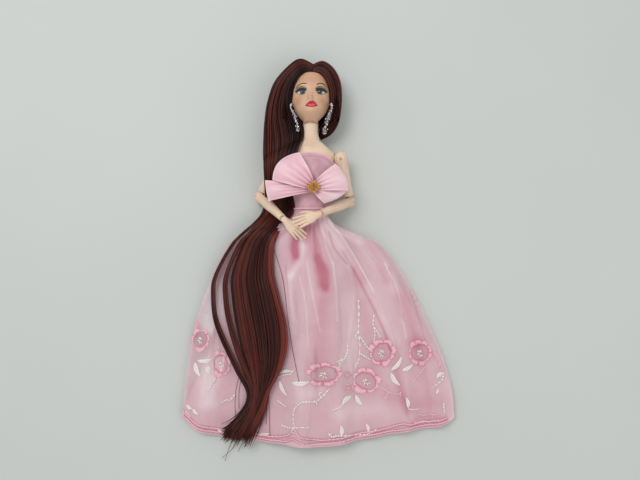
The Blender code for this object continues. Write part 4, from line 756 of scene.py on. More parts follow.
# Each leaf's place and angle, its length and its width in pixels
LEAVES = (
    (390.5, 371.5, 0.94, 18.0, 4.2),
    (401, 371, 0.53, 12.5, 4.0),
    (390, 372, -0.92, 16.0, 4.6),
    (352, 395, -2.33, 13.0, 4.6),
    (354.8, 393.8, -0.96, 13.0, 4.2),
    (341.5, 437, 1.65, 10.5, 4.4),
    (369, 433, 1.90, 9.0, 3.4),
    (408.5, 409, 1.80, 11.0, 3.8),
    (196, 361, 0.15, 15.5, 4.0),
    (194.5, 361, -1.20, 16.0, 4.6),
    (208, 364.5, -1.40, 8.0, 5.6),
    (185.5, 404.5, -0.60, 6.8, 3.6),
    (192, 408, -0.80, 8.0, 3.2),
    (216, 427.4, -0.60, 8.5, 2.6),
    (256.7, 434.3, 0.10, 12.0, 3.6),
    (291, 383, 0.08, 17.0, 5.0),
    (279, 380, -1.08, 17.0, 3.6),
    (293, 371, -2.95, 14.0, 3.2),
    (443, 371.5, -2.30, 8.0, 4.0),
    (436, 395, 1.30, 6.0, 2.4),
)
merged("white_leaves", LEAVES, WHITE_THREAD, 1.0)
stitched("white_embroidery", white, WHITE_THREAD, 5)

pink = []
for route in (
    ((377, 387), (383, 389), (388, 392), (394, 394), (399, 394.5)),
    ((385, 390), (388, 387), (386, 385)),
    ((388, 392), (387, 396), (384, 398), (388, 399)),
    ((399, 394.5), (401, 392), (400, 397)),
    ((425, 367), (421, 372), (417, 377), (412, 383)),
    ((421, 372), (419, 369)),
    ((418, 378), (421, 381)),
):
    pink.append(twig(route, 0.00040, 0.7)[:2] + (0.95,))
# The hem's double cord, in the photograph's frame
CORD_UPPER = (
    (183, 410), (186, 417), (190, 419.4), (194, 425), (204, 429.7), (220, 436.3), (239, 440), (254, 438.8),
    (269, 437), (285, 436), (290.6, 433.5), (294, 429.6), (297.4, 435), (303, 438.5), (318, 440),
    (325, 441.8), (343, 441), (357, 440), (369, 435.4), (380, 431.6), (389, 427.8), (403, 424), (412, 425.4),
    (423, 425.6), (437, 425), (448, 419.5),
)
CORD_LOWER = (
    (184, 418), (188, 425), (196, 431), (208, 435.5), (222, 441.2), (239, 444), (255, 443), (270, 442),
    (285, 441.5), (292, 439.4), (299, 443), (310, 446), (322, 446.6), (336, 446.2), (357, 445), (369, 440),
    (382, 436.8), (397, 431.5), (409, 428.5), (423, 428.8), (437, 428), (448, 423),
)
CORD_POINTS, SCALLOP_POINTS = 420, 90
# Each cord is a thread with a finer dark line along each side: shift in pixels, radius, tint
CORD_EDGES = ((-0.95, 0.00022, 0.08), (1.0, 0.00026, 0.05))
for route, radius, tone, gap in ((CORD_UPPER, 0.00056, 0.85, 5.0), (CORD_LOWER, 0.00060, 0.80, 1.6)):
    route = [(u, above_hem(u, v, gap)) for u, v in smooth(route, CORD_POINTS)]
    wave = 0.5 * np.sin(np.arange(CORD_POINTS) * 0.9)
    beat = np.sin(np.arange(CORD_POINTS) * 1.7)
    for shift, size, shade in ((0.0, radius, tone), *CORD_EDGES):
        lift = 0.0003 if shift else 0.00045
        line = np.array([at(u, v + shift + 0.3 * w, lift) for (u, v), w in zip(route, wave)])
        # Lighter where the cord is thicker: painted light on its bulges.
        pink.append((line, size * (1 + 0.2 * beat), shade + 0.14 * beat))
for k in range(3):
    start = 412 + 3 * k
    steps = range(6 - k // 2)
    route = [(start + 5.5 * j, 421.5 - 3.6 * k - 0.25 * j + 1.2 * (j % 2)) for j in steps]
    line = np.array([at(u, v, 0.0004) for u, v in smooth(route, SCALLOP_POINTS)])
    beat = np.sin(np.arange(SCALLOP_POINTS) * 1.7)
    pink.append((line, 0.0005 * (1 + 0.25 * beat), 0.8 - 0.25 * (k % 2)))
PETALS = (
    (433, 350, -0.9, 7, 3.6),
    (436, 355, -0.9, 7, 4.0),
    (439, 360, -1.1, 7, 4.0),
    (441.5, 365, -1.3, 6, 3.4),
    (410, 289, -1.0, 7, 2.4),
    (412.5, 294, -1.0, 7, 2.6),
    (415, 300, -1.2, 6, 2.2),
    (196.5, 330, 1.60, 9, 3.2),
)
merged("pink_petals", PETALS, PINK_THREAD, 0.95)
stitched("pink_embroidery", pink, PINK_THREAD, 6)

# Head and face
HEAD_TILT = math.radians(15)
HEAD_UP = np.array((0, math.cos(HEAD_TILT), -math.sin(HEAD_TILT)))
HEAD_AHEAD = np.array((0, math.sin(HEAD_TILT), math.cos(HEAD_TILT)))
HEAD_CENTRE = np.array((0, 0.1049, 0.0205))
HALF, ABOVE, BELOW, FACE_DEEP, SKULL_DEEP, NOSE = 0.0143, 0.0200, 0.0176, 0.0148, 0.0160, 0.0030
EYE_X, LIP_H = 0.0072, -0.0098
HEAD_SECTIONS = (
    (0.995, 0.12, 0.10, 0.14),
    (0.93, 0.60, 0.62, 0.50),
    (0.76, 0.83, 0.86, 0.79),
    (0.52, 0.95, 0.96, 0.96),
    (0.26, 1.00, 0.99, 1.00),
    (0.00, 0.99, 0.95, 0.98),
    (-0.23, 0.965, 0.985, 0.88),
    (-0.45, 0.86, 0.99, 0.70),
    (-0.65, 0.72, 0.98, 0.52),
    (-0.82, 0.54, 0.92, 0.40),
    (-0.94, 0.41, 0.74, 0.34),
    (-1.00, 0.36, 0.58, 0.32),
)


def head_point(height, angle):
    """A point on the head's skin; height runs up from the eyes, angle from the doll's left."""
    width, face, skull = through(HEAD_SECTIONS, height / (ABOVE if height > 0 else BELOW))
    x = width * HALF * math.cos(angle)
    rise = math.sin(angle)
    if rise <= 0:
        return HEAD_CENTRE + np.array((x, 0, 0)) + HEAD_UP * height + HEAD_AHEAD * skull * SKULL_DEEP * rise
    ahead = face * FACE_DEEP * rise
    tip = bump(x, 0.0019) * bump(height + 0.0056, 0.0020)
    wings = 0.45 * bump(abs(x) - 0.0018, 0.0010) * bump(height + 0.0062, 0.0012)
    bridge = bump(x, 0.0017) * bump(height + 0.0018, 0.0042)
    upper = bump(x, 0.0034) * bump(height - LIP_H - 0.0010, 0.0011) * (1 - 0.25 * bump(x, 0.0006))
    lower = bump(x, 0.0028) * bump(height - LIP_H + 0.0014, 0.0012)
    parting = bump(x, 0.0040) * bump(height - LIP_H - 0.0001, 0.0005)
    dip = bump(abs(x) - EYE_X, 0.0034) * bump(height + 0.0002, 0.0026)
    ball = bump(abs(x) - EYE_X, 0.0026) * bump(height, 0.0016)
    brow = bump(abs(x) - EYE_X * 0.9, 0.0040) * bump(height - 0.0046, 0.0020)
    chin = bump(x, 0.0040) * bump(height + 0.0150, 0.0022)
    cheek = bump(abs(x) - 0.0088, 0.0040) * bump(height + 0.0068, 0.0036)
    ahead += NOSE * (0.95 * tip + 0.3 * wings + 0.42 * bridge + 0.34 * upper + 0.40 * lower - 0.22 * parting)
    ahead += NOSE * (-0.44 * dip + 0.16 * ball + 0.10 * brow + 0.28 * chin + 0.10 * cheek)
    return HEAD_CENTRE + np.array((x, 0, 0)) + HEAD_UP * height + HEAD_AHEAD * ahead


rows, sides = 120, 180
grid = np.zeros((rows + 1, sides, 3))
tint = np.zeros((rows + 1, sides))
for r in range(rows + 1):
    height = mix(-BELOW, 0.995 * ABOVE, r / rows)
    for k in range(sides):
        angle = math.tau * k / sides
        point = grid[r, k] = head_point(height, angle)
        x = abs(point[0])
        # The face's tint: blush on the cheeks, soft colour above the eyes, darker across the upper forehead,
        # and painted shade in the nostrils.
        shade = 0.62 - 0.42 * bump(x - 0.0090, 0.0034) * bump(height + 0.0060, 0.0032)
        shade -= 0.30 * bump(x - EYE_X, 0.0040) * bump(height - 0.0018, 0.0022)
        shade -= 0.28 * bump(height - 0.0110, 0.0042)
        tint[r, k] = shade - 0.30 * bump(x - 0.0015, 0.0007) * bump(height + 0.0072, 0.0007)
NECK = np.array((0, 0.0865, 0.0212))
away = grid - NECK
reach = np.linalg.norm(away, axis=2, keepdims=True)
grid = np.where(reach < 0.00575, NECK + away / reach * 0.00575, grid)
chin_rows = 10
angles = np.linspace(0, math.tau, sides, endpoint=False)[:, None]
seat = NECK + 0.0058 * (np.cos(angles) * np.array((1, 0, 0)) + np.sin(angles) * HEAD_AHEAD) - 0.0004 * HEAD_UP
under = []
for r in range(chin_rows):
    share = r / chin_rows
    under.append(mix(seat, grid[0], share) - 0.0009 * math.sin(math.pi * share) * HEAD_UP)
grid = np.concatenate([np.array(under), grid])
# Under the chin the skin is painted a little darker: painted shade.
tint = np.concatenate([np.repeat(tint[:1], chin_rows, axis=0) - 0.05, tint])
rows += chin_rows
faces = grid_faces(rows + 1, sides, True)
faces.append(list(range(rows * sides, (rows + 1) * sides)))
skin = mesh_piece("head_skin", grid.reshape(-1, 3), faces, FACE, "head", np.clip(tint, 0, 1))
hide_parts("head")
HEAD_TREE = BVHTree.FromPolygons([tuple(p) for p in grid.reshape(-1, 3)], faces[:-1], all_triangles=False)


def paint(name, upper, lower, made, lift, columns=28, rows=6):
    """A patch of paint on the face between two curves in the photograph's frame."""
    top, bottom = smooth(upper, columns), smooth(lower, columns)
    grid = np.zeros((rows + 1, columns, 3))
    for r in range(rows + 1):
        for c in range(columns):
            u, v = mix(top[c], bottom[c], r / rows)
            z = 0.034
            for _ in range(3):
                x, y = seen(u - 0.5, v, z)
                hit = HEAD_TREE.ray_cast(Vector((x, y, 0.1)), Vector((0, 0, -1)))[0]
                z = hit.z if hit else z
            grid[r, c] = (x, y, z + lift * MM)
    piece = grid_piece(name, grid, made, "head")


def disc(u, v, radius, top, bottom):
    """The upper and lower edge of a round patch, cut off by the eyelids."""
    upper, lower = [], []
    for k in range(9):
        x = u - radius * math.cos(math.pi * k / 8)
        half = radius * math.sin(math.pi * k / 8)
        lid = np.interp(x, [p[0] for p in top], [p[1] for p in top])
        under = np.interp(x, [p[0] for p in bottom], [p[1] for p in bottom])
        upper.append((x, max(v - half, lid)))
        lower.append((x, min(v + half, under)))
    return upper, lower


EYES = {
    "right": (
        ((297.4, 92.6), (299.6, 91.2), (302.3, 90.5), (305.0, 90.6), (306.4, 91.2)),
        ((297.4, 92.7), (299.6, 93.9), (302.2, 94.2), (304.9, 93.3), (306.4, 91.4)),
        ((295.8, 92.6), (298.3, 89.2), (301.5, 87.9), (304.8, 87.8), (307.2, 88.8)),
        ((295.0, 91.6), (298.0, 87.3), (301.5, 85.9), (305.0, 85.9), (307.8, 87.6)),
        ((296.0, 88.2), (298.5, 85.1), (302.0, 83.1), (305.0, 82.8), (307.0, 83.1)),
        ((296.2, 88.9), (298.7, 86.0), (302.0, 84.0), (305.0, 83.7), (307.0, 84.0)),
        (302.9, 92.0),
    ),
    "left": (
        ((316.8, 91.2), (318.6, 90.6), (321.2, 90.5), (323.9, 91.3), (326.4, 92.9)),
        ((316.8, 91.4), (318.6, 93.3), (321.4, 94.2), (323.9, 94.0), (326.4, 93.0)),
        ((316.0, 88.8), (318.4, 87.8), (321.5, 87.9), (325.0, 89.4), (327.8, 92.8)),
        ((315.6, 87.6), (318.4, 85.9), (322.0, 85.9), (325.6, 87.7), (328.4, 91.4)),
        ((317.0, 84.2), (319.5, 82.9), (322.0, 82.9), (325.0, 84.4), (327.4, 87.4)),
        ((317.2, 85.1), (319.5, 83.9), (322.0, 83.9), (324.8, 85.4), (327.2, 88.2)),
        (320.4, 92.0),
    ),
}
for side, (top, under, lash, shade, brow_top, brow_under, iris) in EYES.items():
    paint(side + "_eye_shadow", shade, lash, SHADOW, 0.05)
    paint(side + "_eye_white", top, under, EYE_WHITE, 0.08)
    paint(side + "_iris", *disc(*iris, 2.6, top, under), IRIS, 0.12, 20)
    paint(side + "_pupil", *disc(*iris, 1.2, top, under), PUPIL, 0.16, 16)
    paint(side + "_lashes", lash, [(u, v + 0.25) for u, v in top], LASH, 0.20)
    above = [(u, v - 0.1) for u, v in under]
    below = [(u, v + 0.35) for u, v in under]
    paint(side + "_lower_lid", above, below, LASH, 0.14, 28, 2)
    paint(side + "_brow", brow_top, brow_under, BROW, 0.08, 28, 3)
    # A painted highlight on each iris.
    u, v = iris
    above, below = [[(u - 1.1, v + rise), (u - 0.3, v + rise)] for rise in (-0.9, -0.3)]
    paint(side + "_eye_highlight", above, below, EYE_WHITE, 0.20, 4, 2)
LIP_TOP = (
    (305.4, 105.6), (308.3, 102.4), (311.0, 100.3),
    (312.0, 100.9), (313.2, 100.4), (315.8, 101.9), (318.3, 105.5),
)
MOUTH = (
    (305.4, 105.7), (308.5, 104.2), (311.0, 103.1),
    (312.0, 102.9), (313.2, 103.1), (315.5, 104.1), (318.3, 105.6),
)
LIP_BOTTOM = (
    (305.4, 105.8), (308.5, 106.5), (311.0, 107.0),
    (312.0, 107.1), (313.2, 107.0), (315.5, 106.6), (318.3, 105.7),
)
# The lighter streak across the lips is a painted highlight.
SHINE_TOP = ((308.6, 104.6), (311.0, 103.7), (313.0, 103.6), (315.4, 104.5))
SHINE_BOTTOM = ((308.6, 105.2), (311.0, 105.8), (313.0, 105.8), (315.4, 105.2))
paint("upper_lip", LIP_TOP, MOUTH, LIPS, 0.10)
paint("lower_lip", MOUTH, LIP_BOTTOM, LIPS, 0.10)
paint("lip_highlight", SHINE_TOP, SHINE_BOTTOM, LIP_HIGHLIGHT, 0.16)


# Bodice and its piping
BODICE_HEIGHT, RIBBON_WIDTH, SEAM_ALLOWANCE = 0.042, 0.026, 0.002


def bodice_top(angle):
    rise = max(math.sin(angle), 0)
    return 0.0545 + 0.0100 * rise**1.2


def bodice_sheet(name, node, start, end, rows, columns, folds):
    """A bodice panel, drawn into soft folds."""
    grid = np.zeros((rows + 1, columns + 1, 3))
    for r in range(rows + 1):
        share = r / rows
        for c in range(columns + 1):
            angle = mix(start, end, c / columns)
            y = mix(WAIST_Y - 0.0006, bodice_top(angle), share)
            back = math.sin(angle) < 0
            lift = 0.0009 * float(eased(abs(math.sin(angle)))) if back else 0.0
            pull = folds * math.sin(9 * angle + 5 * share) * math.sin(math.pi * share)
            grid[r, c] = trunk_point(y, angle, 0.0011 + lift + pull)
    grid[..., 2] = np.maximum(grid[..., 2], 0.0)
    piece = grid_piece(name, grid, SATIN, "torso")
    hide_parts(node)


seam = math.radians(2)
bodice_sheet("bodice_front_cloth", "bodice_front", seam, math.pi - seam, 40, 70, 0.00022)
for side, start in (("right", math.pi), ("left", 1.5 * math.pi)):
    name = "bodice_back_" + side
    bodice_sheet(name + "_cloth", name, start + seam, start + math.pi / 2 - seam, 24, 30, 0.0001)
lines = []
angles = np.linspace(math.radians(6), math.pi - math.radians(6), 120)
edge = [trunk_point(bodice_top(a) + 0.0003, a, 0.0009) for a in angles]
lines.append((edge, 0.00050 * (1 + 0.12 * (np.arange(120) % 2)), 0.85))
stitches = [trunk_point(bodice_top(a) - 0.0016, a, 0.00135) for a in angles]
lines.append((stitches, np.full(120, 0.00012), 0.4))
angles = np.linspace(math.radians(2), math.pi - math.radians(2), 120)
lines.append(([trunk_point(WAIST_Y + 0.0010, a, 0.0016) for a in angles], np.full(120, 0.0008), 0.8))
piping = strands("neckline_piping", lines, PINK_THREAD, "torso", 6)
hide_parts("bodice_piping")

# Bow
KNOT = np.array((0.0022, 0.0388, 0.0330))
BOW_REACH = 0.0362
# Each leaf's outer corners as shares of the reach, middle and end rise, folds, level, roundness
BOW_LEAVES = {
    "bow_loop_right": ((-0.290, 0.710), (-0.835, 0.150), 1.00, -0.55, 2, 0, 0.42),
    "bow_tail_right": ((-0.994, 0.149), (-0.920, -0.275), 0.55, -0.70, 2, 1, 0.05),
    "bow_loop_left": ((0.448, 0.484), (0.716, -0.060), 1.00, -0.65, 2, 0, 0.24),
    "bow_tail_left": ((0.716, 0.020), (0.215, -0.325), 0.45, -0.50, 1, 1, 0.34),
}


def bow_leaf(name, first, second, middle_rise, end_rise, folds, level, roundness):
    """One leaf of the bow as a doubled satin ribbon, pleated at the knot, smooth and full at its end."""
    knot = KNOT - np.array((0, 0, 0.0021 * level))
    first, second = np.array((*first, 0)) * BOW_REACH, np.array((*second, 0)) * BOW_REACH
    centre, half_end = (first + second) / 2, (first - second) / 2
    half_root = half_end / np.linalg.norm(half_end) * 0.0030
    way = centre / np.linalg.norm(centre)
    start = way * 0.0022
    # The right leaves are painted darker than the left ones, as the light falls: painted shade.
    painted_side_light = 0.44 if "right" in name else 0.60
    rows, columns = 48, 72
    top = np.zeros((rows + 1, columns + 1, 3))
    tint = np.zeros((rows + 1, columns + 1))
    under = top.copy()
    for r in range(rows + 1):
        along = r / rows
        for c in range(columns + 1):
            across = mix(-1, 1, c / columns)
            grown = along ** (0.8 if roundness > 0.2 else 0.95)
            flat = mix(start, centre, along) + across * (half_root + (half_end - half_root) * grown)
            flat = flat + way * (roundness * np.linalg.norm(half_end) * (1 - across * across) * along)
            rise = 0.0040 * (middle_rise * math.sin(math.pi * along) + end_rise * float(eased(along)))
            pleat = math.cos(math.tau * folds * across + 0.6 * math.sin(3 * along)) * (1 - along) ** 1.6
            fine = math.cos(math.tau * (2.4 * folds + 1) * across + 1.3) * (1 - along) ** 2.2
            soft = math.sin(4.3 * across + 2.0 * along + 3 * roundness) * along
            full = 0.0016 * (0.30 + 1.25 * along * (1 - across * across))
            if along > 0.86:
                full *= math.sqrt(max(1 - ((along - 0.86) / 0.14) ** 2, 0))
            rise += 0.0008 * pleat + 0.0004 * fine + 0.0003 * soft
            top[r, c] = knot + flat + np.array((0, 0, rise + full))
            under[r, c] = knot + flat + np.array((0, 0, rise))
            # Painted light and shade: lighter on the pleats' crests, with a painted highlight along the
            # folded edges, and darker in the pleats' hollows and near the knot.
            edge_highlight = bump(abs(across) - 1, 0.045) + bump(along - 0.99, 0.03)
            tint[r, c] = painted_side_light + 0.30 * pleat + 0.25 * fine + 0.08 * soft + 0.34 * edge_highlight
            tint[r, c] -= 0.12 * (1 - along) ** 2
    both = np.concatenate([top, under[::-1]], axis=0)
    # The underside is painted darker: painted shade.
    shade = np.concatenate([tint, 0.6 * tint[::-1]], axis=0)
    piece = grid_piece(name + "_satin", both, BOW, "torso", np.clip(shade, 0, 1))
    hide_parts(name)
    area = cloth_area(both)
    flat = (area / RIBBON_WIDTH, RIBBON_WIDTH + 2 * SEAM_ALLOWANCE)


for name, shape in BOW_LEAVES.items():
    bow_leaf(name, *shape)

# Hair
random.seed(7)
STRAND, STRAY, LOCK_THICK = 0.00032, 0.00016, 0.0050


def lock(stations, count, samples, spread, glow, gown=None, shares=None):
    """Strands that run through stations of inner and outer edge and low and high height."""
    rows = np.array(stations, float)
    lines = []
    for _ in range(count):
        share = random.random()
        layer = random.random() ** 0.7
        drift = random.uniform(-1, 1) * spread
        keys = []
        for i, (iu, iv, ou, ov, low, high) in enumerate(rows):
            where = share if shares is None else shares(share, i)
            sway = drift * math.sin(0.8 * i + 6 * share)
            z = mix(low, high, layer) * MM
            x, y = seen(mix(iu, ou, where) + sway, mix(iv, ov, where), z)
            keys.append((x, y, z))
        line = smooth(keys, samples)
        if gown is not None:
            begin = gown / (len(rows) - 1)
            for k in range(samples):
                weight = float(eased((k / (samples - 1) - begin) / 0.06))
                if weight > 0:
                    lying = on_gown(line[k][0], line[k][1], 0.0008 + layer * LOCK_THICK, 0.001)
                    line[k][2] = mix(line[k][2], lying, weight)
        taper = np.ones(samples)
        taper[-8:] = np.linspace(1, 0.3, 8)
        # Strands vary at random and across the lock; those on top are painted lighter as painted light, and
        # glow adds painted light and shade.
        tone = random.random() ** 1.6 * 0.62 + 0.10 * layer + 0.12 * math.sin(31 * share) + 0.06
        tone = tone + 0.10 * np.sin(np.linspace(0, 5, samples) + 6 * share)
        tone = tone * glow(share, np.linspace(0, 1, samples))
        lines.append((line, STRAND * taper * random.uniform(0.8, 1.2), np.clip(tone, 0.02, 1)))
    return lines


# Where hair runs: inner edge and outer edge in pixels, then lowest and highest height in millimetres
FALL = (
    (312.6, 72.5, 313.2, 64.5, 22, 26),
    (306, 71.8, 301, 59.0, 19, 27.5),
    (299, 76.5, 290, 65.0, 16, 29),
    (295.2, 85, 275, 82, 9, 28),
    (293.2, 97, 267.5, 103, 6, 26),
    (295, 110, 264.5, 122, 6, 25),
    (301.5, 122, 263.5, 139, 7, 24),
    (304, 134, 263.2, 152, 10, 24),
    (298, 149, 263.8, 168, 20, 27),
    (292, 172, 265.0, 186, 17, 23),
    (295, 197, 265.5, 199, 6, 12),
    (294, 214, 262.5, 212, 4, 9),
    (284.5, 226, 254, 222.5, 8, 14),
    (274, 242, 231, 243, 12, 20),
    (273.5, 272, 213, 276, 10, 18),
    (280, 296, 210.5, 297, 10, 16),
    (286.5, 322, 213, 320, 10, 16),
    (287, 346, 222, 345, 10, 16),
    (281, 368, 236, 372, 10, 16),
    (269, 392, 248, 394, 10, 16),
    (264, 410, 243, 413, 10, 15),
    (257, 426, 233, 427, 9, 12),
    (251, 438, 225, 435, 8, 10),
)
GAPS = {12: 0.2, 13: 0.7, 14: 1.0, 15: 1.0, 16: 0.9, 17: 0.6, 18: 0.25, 20: 0.6, 21: 1.0, 22: 1.2}


def clustered(share, station):
    """Where a strand runs between the edges: two locks part from the mass and join it again."""
    weight = GAPS.get(station, 0.0)
    if share > 0.86:
        away = mix(0.95, 1.0, (share - 0.86) / 0.14)
    elif share > 0.74:
        away = mix(0.76, 0.82, (share - 0.74) / 0.12)
    else:
        away = share / 0.74 * 0.70
    return mix(share, away, weight)


CROWN_RIGHT = (
    (312.6, 72.5, 313.2, 64.5, 22, 26),
    (318, 71.8, 323, 61.2, 19, 26),
    (324.5, 76.5, 333, 68, 16, 27),
    (328.6, 85, 339.5, 80, 9, 27),
    (330.6, 97, 341.5, 94, 6, 25),
    (329, 108, 341.0, 110, 5, 22),
    (325, 118, 338, 124, 5, 18),
    (320.5, 127, 331, 134.5, 5, 14),
    (318.5, 136, 321, 140, 5, 10),
)


def fall_glow(share, along):
    """Painted shade beside the face and painted light along the outer side; lower down, a reddish painted
    highlight at the inner edge and two darker stripes.
    """
    upper = 1 - eased((along - 0.42) / 0.10)
    beside_face = mix(0.14, 1.05, float(eased((share - 0.20) / 0.7))) * upper
    inner = 0.95 + 1.3 * (share < 0.14) - 0.55 * bump(share - 0.42, 0.10) - 0.3 * bump(share - 0.70, 0.05)
    return beside_face + inner * (1 - upper)


# Painted light on the crown: lighter toward the outer side, and painted shade beside the face and toward the
# strands' lower ends.
def crown_glow(share, along):
    return mix(0.65, 1.1, share) * (1 - 0.65 * eased((along - 0.55) / 0.3))


FALL_POINTS, END_POINTS, HEAD_ROWS, OVERLAP = 110, 26, 39, 3
fall = lock(FALL, 760, FALL_POINTS, 0.5, fall_glow, 12, clustered)
for line, radii, tone in fall:
    spread = random.gauss(0, 1)
    share = eased((np.arange(FALL_POINTS) - FALL_POINTS + END_POINTS) / END_POINTS)
    wisp = math.sin(23 * line[-1][0] / 0.040)
    line[:, 0] += (0.0016 * spread + 0.0012 * wisp) * share
    line[:, 1] += (0.0034 * random.gauss(0, 1) + 0.0015) * share**3
strays = []
for route, tone in (
    (((274, 250), (283, 280), (288, 320), (293, 352), (299, 382)), 0.30),
    (((242, 418), (234, 436), (228, 451), (225, 461)), 0.40),
    (((268, 380), (269, 400), (269.5, 420), (270, 437)), 0.60),
    (((266, 384), (267, 404), (266, 424)), 0.55),
    (((262, 396), (262, 412), (261, 425)), 0.60),
    (((240, 372), (236, 390), (235, 406), (236, 419)), 0.55),
    (((242, 374), (239, 392), (239, 408)), 0.50),
    (((250, 400), (240, 412), (230, 424), (225, 433)), 0.65),
    (((244, 430), (236, 445), (222, 458)), 0.40),
    (((246, 420), (244, 438), (238, 452)), 0.40),
):
    points = [at(u, v, 0.0006) for u, v in smooth(route, 60)]
    strays.append((smooth(points, FALL_POINTS), np.full(FALL_POINTS, STRAY), tone))
head_part = [[values[:HEAD_ROWS] for values in strand] for strand in fall]
torso_part = [[values[HEAD_ROWS - OVERLAP :] for values in strand] for strand in fall]
crown = lock(CROWN_RIGHT, 330, 40, 0.25, crown_glow)
# The back of the head: height from the eyes, then shares of the hair's half width and depth
BACK_SECTIONS = (
    (0.0250, 0.30, 0.35),
    (0.0200, 0.75, 0.80),
    (0.0100, 0.98, 1.0),
    (-0.0010, 1.0, 1.05),
    (-0.0110, 0.97, 0.95),
    (-0.0170, 0.80, 0.78),
)
back, back_count = [], 260
for k in range(back_count):
    turn = mix(-1.45, 1.45, k / (back_count - 1))
    keys = []
    for height, wide, deep in BACK_SECTIONS:
        across = np.array((0.0215 * wide * math.sin(turn), 0, 0))
        keys.append(HEAD_CENTRE + across + HEAD_UP * height - HEAD_AHEAD * 0.0185 * deep * math.cos(turn))
    line = smooth(keys, 24)
    line[:, 2] = np.maximum(line[:, 2], 0.0014 + 0.0006 * random.random())
    back.append((line, 0.00036 * np.linspace(1, 0.7, 24), random.random() * 0.6))
strands("hair_strands_crown", crown + back, HAIR, "head", 4)
strands_side = strands("hair_strands_side", head_part, HAIR, None, 4)
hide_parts("hair_side_lock")
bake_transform(strands_side)
strands_fall = strands("hair_strands_fall", torso_part + strays, HAIR, None, 4)
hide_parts("hair_fall_upper", "hair_fall_lower")
at_hip(strands_fall)


# The dark mass under the strands of the fall, from the shoulder down
mass_rows, mass_columns, on_gown_from = 60, 8, 0.30
stations = np.array(FALL[8:22], float)
keys_in = smooth(stations[:, [0, 1, 4]], mass_rows)
keys_out = smooth(stations[:, [2, 3, 4]], mass_rows)
grid = np.zeros((mass_rows, mass_columns + 1, 3))
for r in range(mass_rows):
    along = r / (mass_rows - 1)
    for c in range(mass_columns + 1):
        u, v, low = mix(keys_in[r], keys_out[r], mix(0.06, 0.66, c / mass_columns))
        z = (low + 2.4 * (1 - mix(-1, 1, c / mass_columns) ** 2)) * MM
        x, y = seen(u, v, z)
        if along > on_gown_from:
            z = mix(z, on_gown(x, y, 0.0009, 0.001), float(eased((along - on_gown_from) / 0.08)))
        grid[r, c] = (x, y, z)
at_hip(grid_piece("hair_mass_fall", grid, HAIR_BASE, None))

scalp_rows, scalp_sides = 30, 60
grid = np.zeros((scalp_rows + 1, scalp_sides, 3))
for r in range(scalp_rows + 1):
    height = mix(-0.0150, 0.0262, r / scalp_rows)
    share = max(height / 0.0270, 0)
    for k in range(scalp_sides):
        angle = mix(math.radians(152), math.radians(388), k / (scalp_sides - 1))
        width = 0.0212 * math.sqrt(max(1 - share**2.6, 0.02))
        rise = math.sin(angle)
        depth = (0.0100 if rise > 0 else 0.0180) * math.sqrt(max(1 - share**2.6, 0.03))
        across = np.array((width * math.cos(angle), 0, 0))
        point = HEAD_CENTRE + HEAD_UP * height + across + HEAD_AHEAD * depth * rise
        point[2] = max(point[2], 0.0014)
        grid[r, k] = point
scalp = grid_piece("hair_mass_crown", grid, HAIR_BASE, "head")
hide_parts("hair_crown")

# Earrings: many small faceted stones around the CAD chains. A stone has two points and a girdle of five
FACETS, STONES, CHAIN_HEIGHT, CHAIN_RADIUS = 5, 100, 0.0283, 0.00022
STONE_HEIGHT, HOOK_X, HOOK_HEIGHT = 0.0285, 0.0122, 0.0270
STONE = (
    (0, 0, 1), (0.89, 0, 0.45), (0.28, 0.85, 0.45), (-0.72, 0.53, 0.45), (-0.72, -0.53, 0.45),
    (0.28, -0.85, 0.45), (0, 0, -0.8),
)
girdle = range(1, FACETS + 1)
STONE_FACES = [(0, k, k % FACETS + 1) for k in girdle] + [(FACETS + 1, k % FACETS + 1, k) for k in girdle]
# Down each earring: place and half width in pixels
EARRINGS = {
    "right": (
        (291.4, 104.5, 0.3), (290.6, 106.5, 0.6), (292.4, 110.5, 0.9), (294.4, 115.0, 1.5),
        (296.0, 119.5, 2.0), (296.6, 123.5, 1.0), (297.6, 128.0, 2.2), (298.2, 131.0, 1.0),
    ),
    "left": (
        (331.0, 104.5, 0.3), (332.0, 106.5, 0.8), (330.6, 111.0, 1.3), (329.0, 115.5, 1.6),
        (327.4, 120.0, 2.3), (326.2, 125.0, 1.2), (325.0, 130.0, 2.4), (324.4, 134.0, 1.8),
    ),
}
for side, route in EARRINGS.items():
    points, faces, chain = [], [], []
    for u, v, wide in smooth(route, STONES):
        size = random.uniform(0.00026, 0.00060)
        du, dv = random.uniform(-1, 1) * wide, random.uniform(-0.9, 0.9)
        height = STONE_HEIGHT + random.uniform(-0.0008, 0.0014)
        place = np.array((*seen(u + du, v + dv, STONE_HEIGHT), height))
        turn = random.uniform(0, 6)
        axis = Vector((random.random(), random.random(), 1)).normalized()
        spin = Matrix.Rotation(turn, 3, axis)
        start = len(points)
        points += [place + size * np.array(spin @ Vector(corner)) for corner in STONE]
        faces += [[start + k for k in face] for face in STONE_FACES]
        chain.append((*seen(u, v, CHAIN_HEIGHT), CHAIN_HEIGHT))
    hook = [np.array((math.copysign(HOOK_X, chain[0][0]), chain[0][1], HOOK_HEIGHT)), *chain[:3]]
    stones = mesh_piece(side + "_earring_stones", points, faces, CRYSTAL, side + "_earring", soft=False)
    wires = [(route, CHAIN_RADIUS, 0.5) for route in (chain, smooth(hook, 12))]
    wires = strands(side + "_earring_chain", wires, STEEL, side + "_earring", 6)
    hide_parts(side + "_earring")

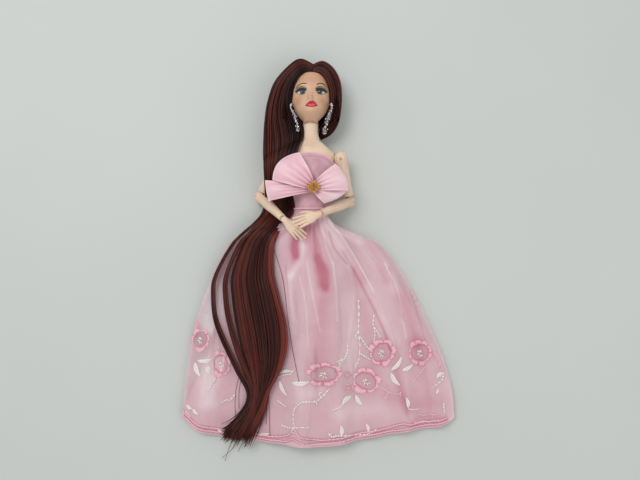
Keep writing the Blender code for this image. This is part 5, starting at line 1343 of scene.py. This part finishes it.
# Closure tape: a woven strip between the back panels
TAPE_LENGTHS, TAPE_ACROSS, TAPE_BOTTOM, TAPE_TOP = 59, 16, WAIST_Y + 0.0018, 0.0527
TAPE_LIFT, TAPE_LOOP = 0.0008, 0.00012
grid = np.zeros((TAPE_LENGTHS + 1, TAPE_ACROSS + 1, 3))
for r in range(TAPE_LENGTHS + 1):
    for c in range(TAPE_ACROSS + 1):
        angle = 1.5 * math.pi + math.radians(mix(-11, 11, c / TAPE_ACROSS))
        y = mix(TAPE_BOTTOM, TAPE_TOP, r / TAPE_LENGTHS)
        loop = TAPE_LOOP * ((r + c) % 2) * (0 < c < TAPE_ACROSS)
        grid[r, c] = trunk_point(y, angle, TAPE_LIFT + loop)
tape = grid_piece("closure_tape_weave", grid, TAPE, "torso")
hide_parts("closure_tape")

# The CAD pieces that stay as they are get their finishes
LOOKS = (
    (SKIN, ("torso_", "_upper_arm", "_forearm", "_hand", "_thigh", "_shin")),
    (JOINT, ("neck_knob", "_hub", "_link", "_pin")),
    (GOLD, ("gem_setting",)),
    (AMBER, ("gem_stone",)),
    (CRYSTAL, ("_earring",)),
)
for name, node in NODES.items():
    for made, words in LOOKS:
        if any(word in name for word in words):
            for slot in node.material_slots:
                slot.material = made

# Floor, lamps, world and camera
FLOOR_HALF, FLOOR_HEIGHT = 3, -0.0004
corners = [(x * FLOOR_HALF, y * FLOOR_HALF, FLOOR_HEIGHT) for x, y in ((-1, -1), (1, -1), (1, 1), (-1, 1))]
mesh_piece("floor", corners, [(0, 1, 2, 3)], FLOOR, None)


def lamp(name, place, aim, size, power):
    light = bpy.data.lights.new(name, "AREA")
    light.size = size
    light.energy = power
    made = bpy.data.objects.new(name, light)
    bpy.context.scene.collection.objects.link(made)
    made.location = place
    made.rotation_euler = (Vector(aim) - Vector(place)).to_track_quat("-Z", "Y").to_euler()


lamp("key", (-0.35, 0.45, 0.95), (0, 0, 0), 0.45, 4.2)
lamp("fill", (0.55, -0.25, 0.9), (0, 0, 0), 0.8, 1.5)
world = bpy.data.worlds.new("studio")
bpy.context.scene.world = world
world.use_nodes = True
world.node_tree.nodes["Background"].inputs["Color"].default_value = (1, 1, 1, 1)
world.node_tree.nodes["Background"].inputs["Strength"].default_value = 0.60

camera = bpy.data.objects.new("camera", bpy.data.cameras.new("camera"))
bpy.context.scene.collection.objects.link(camera)
camera.location = (CAMERA_X, 0, CAMERA_HEIGHT)
camera.data.sensor_width = 36
camera.data.lens = 36 * CAMERA_HEIGHT / FIELD
camera.data.clip_start = 0.01
bpy.context.scene.camera = camera
bpy.context.scene.view_settings.view_transform = "Standard"
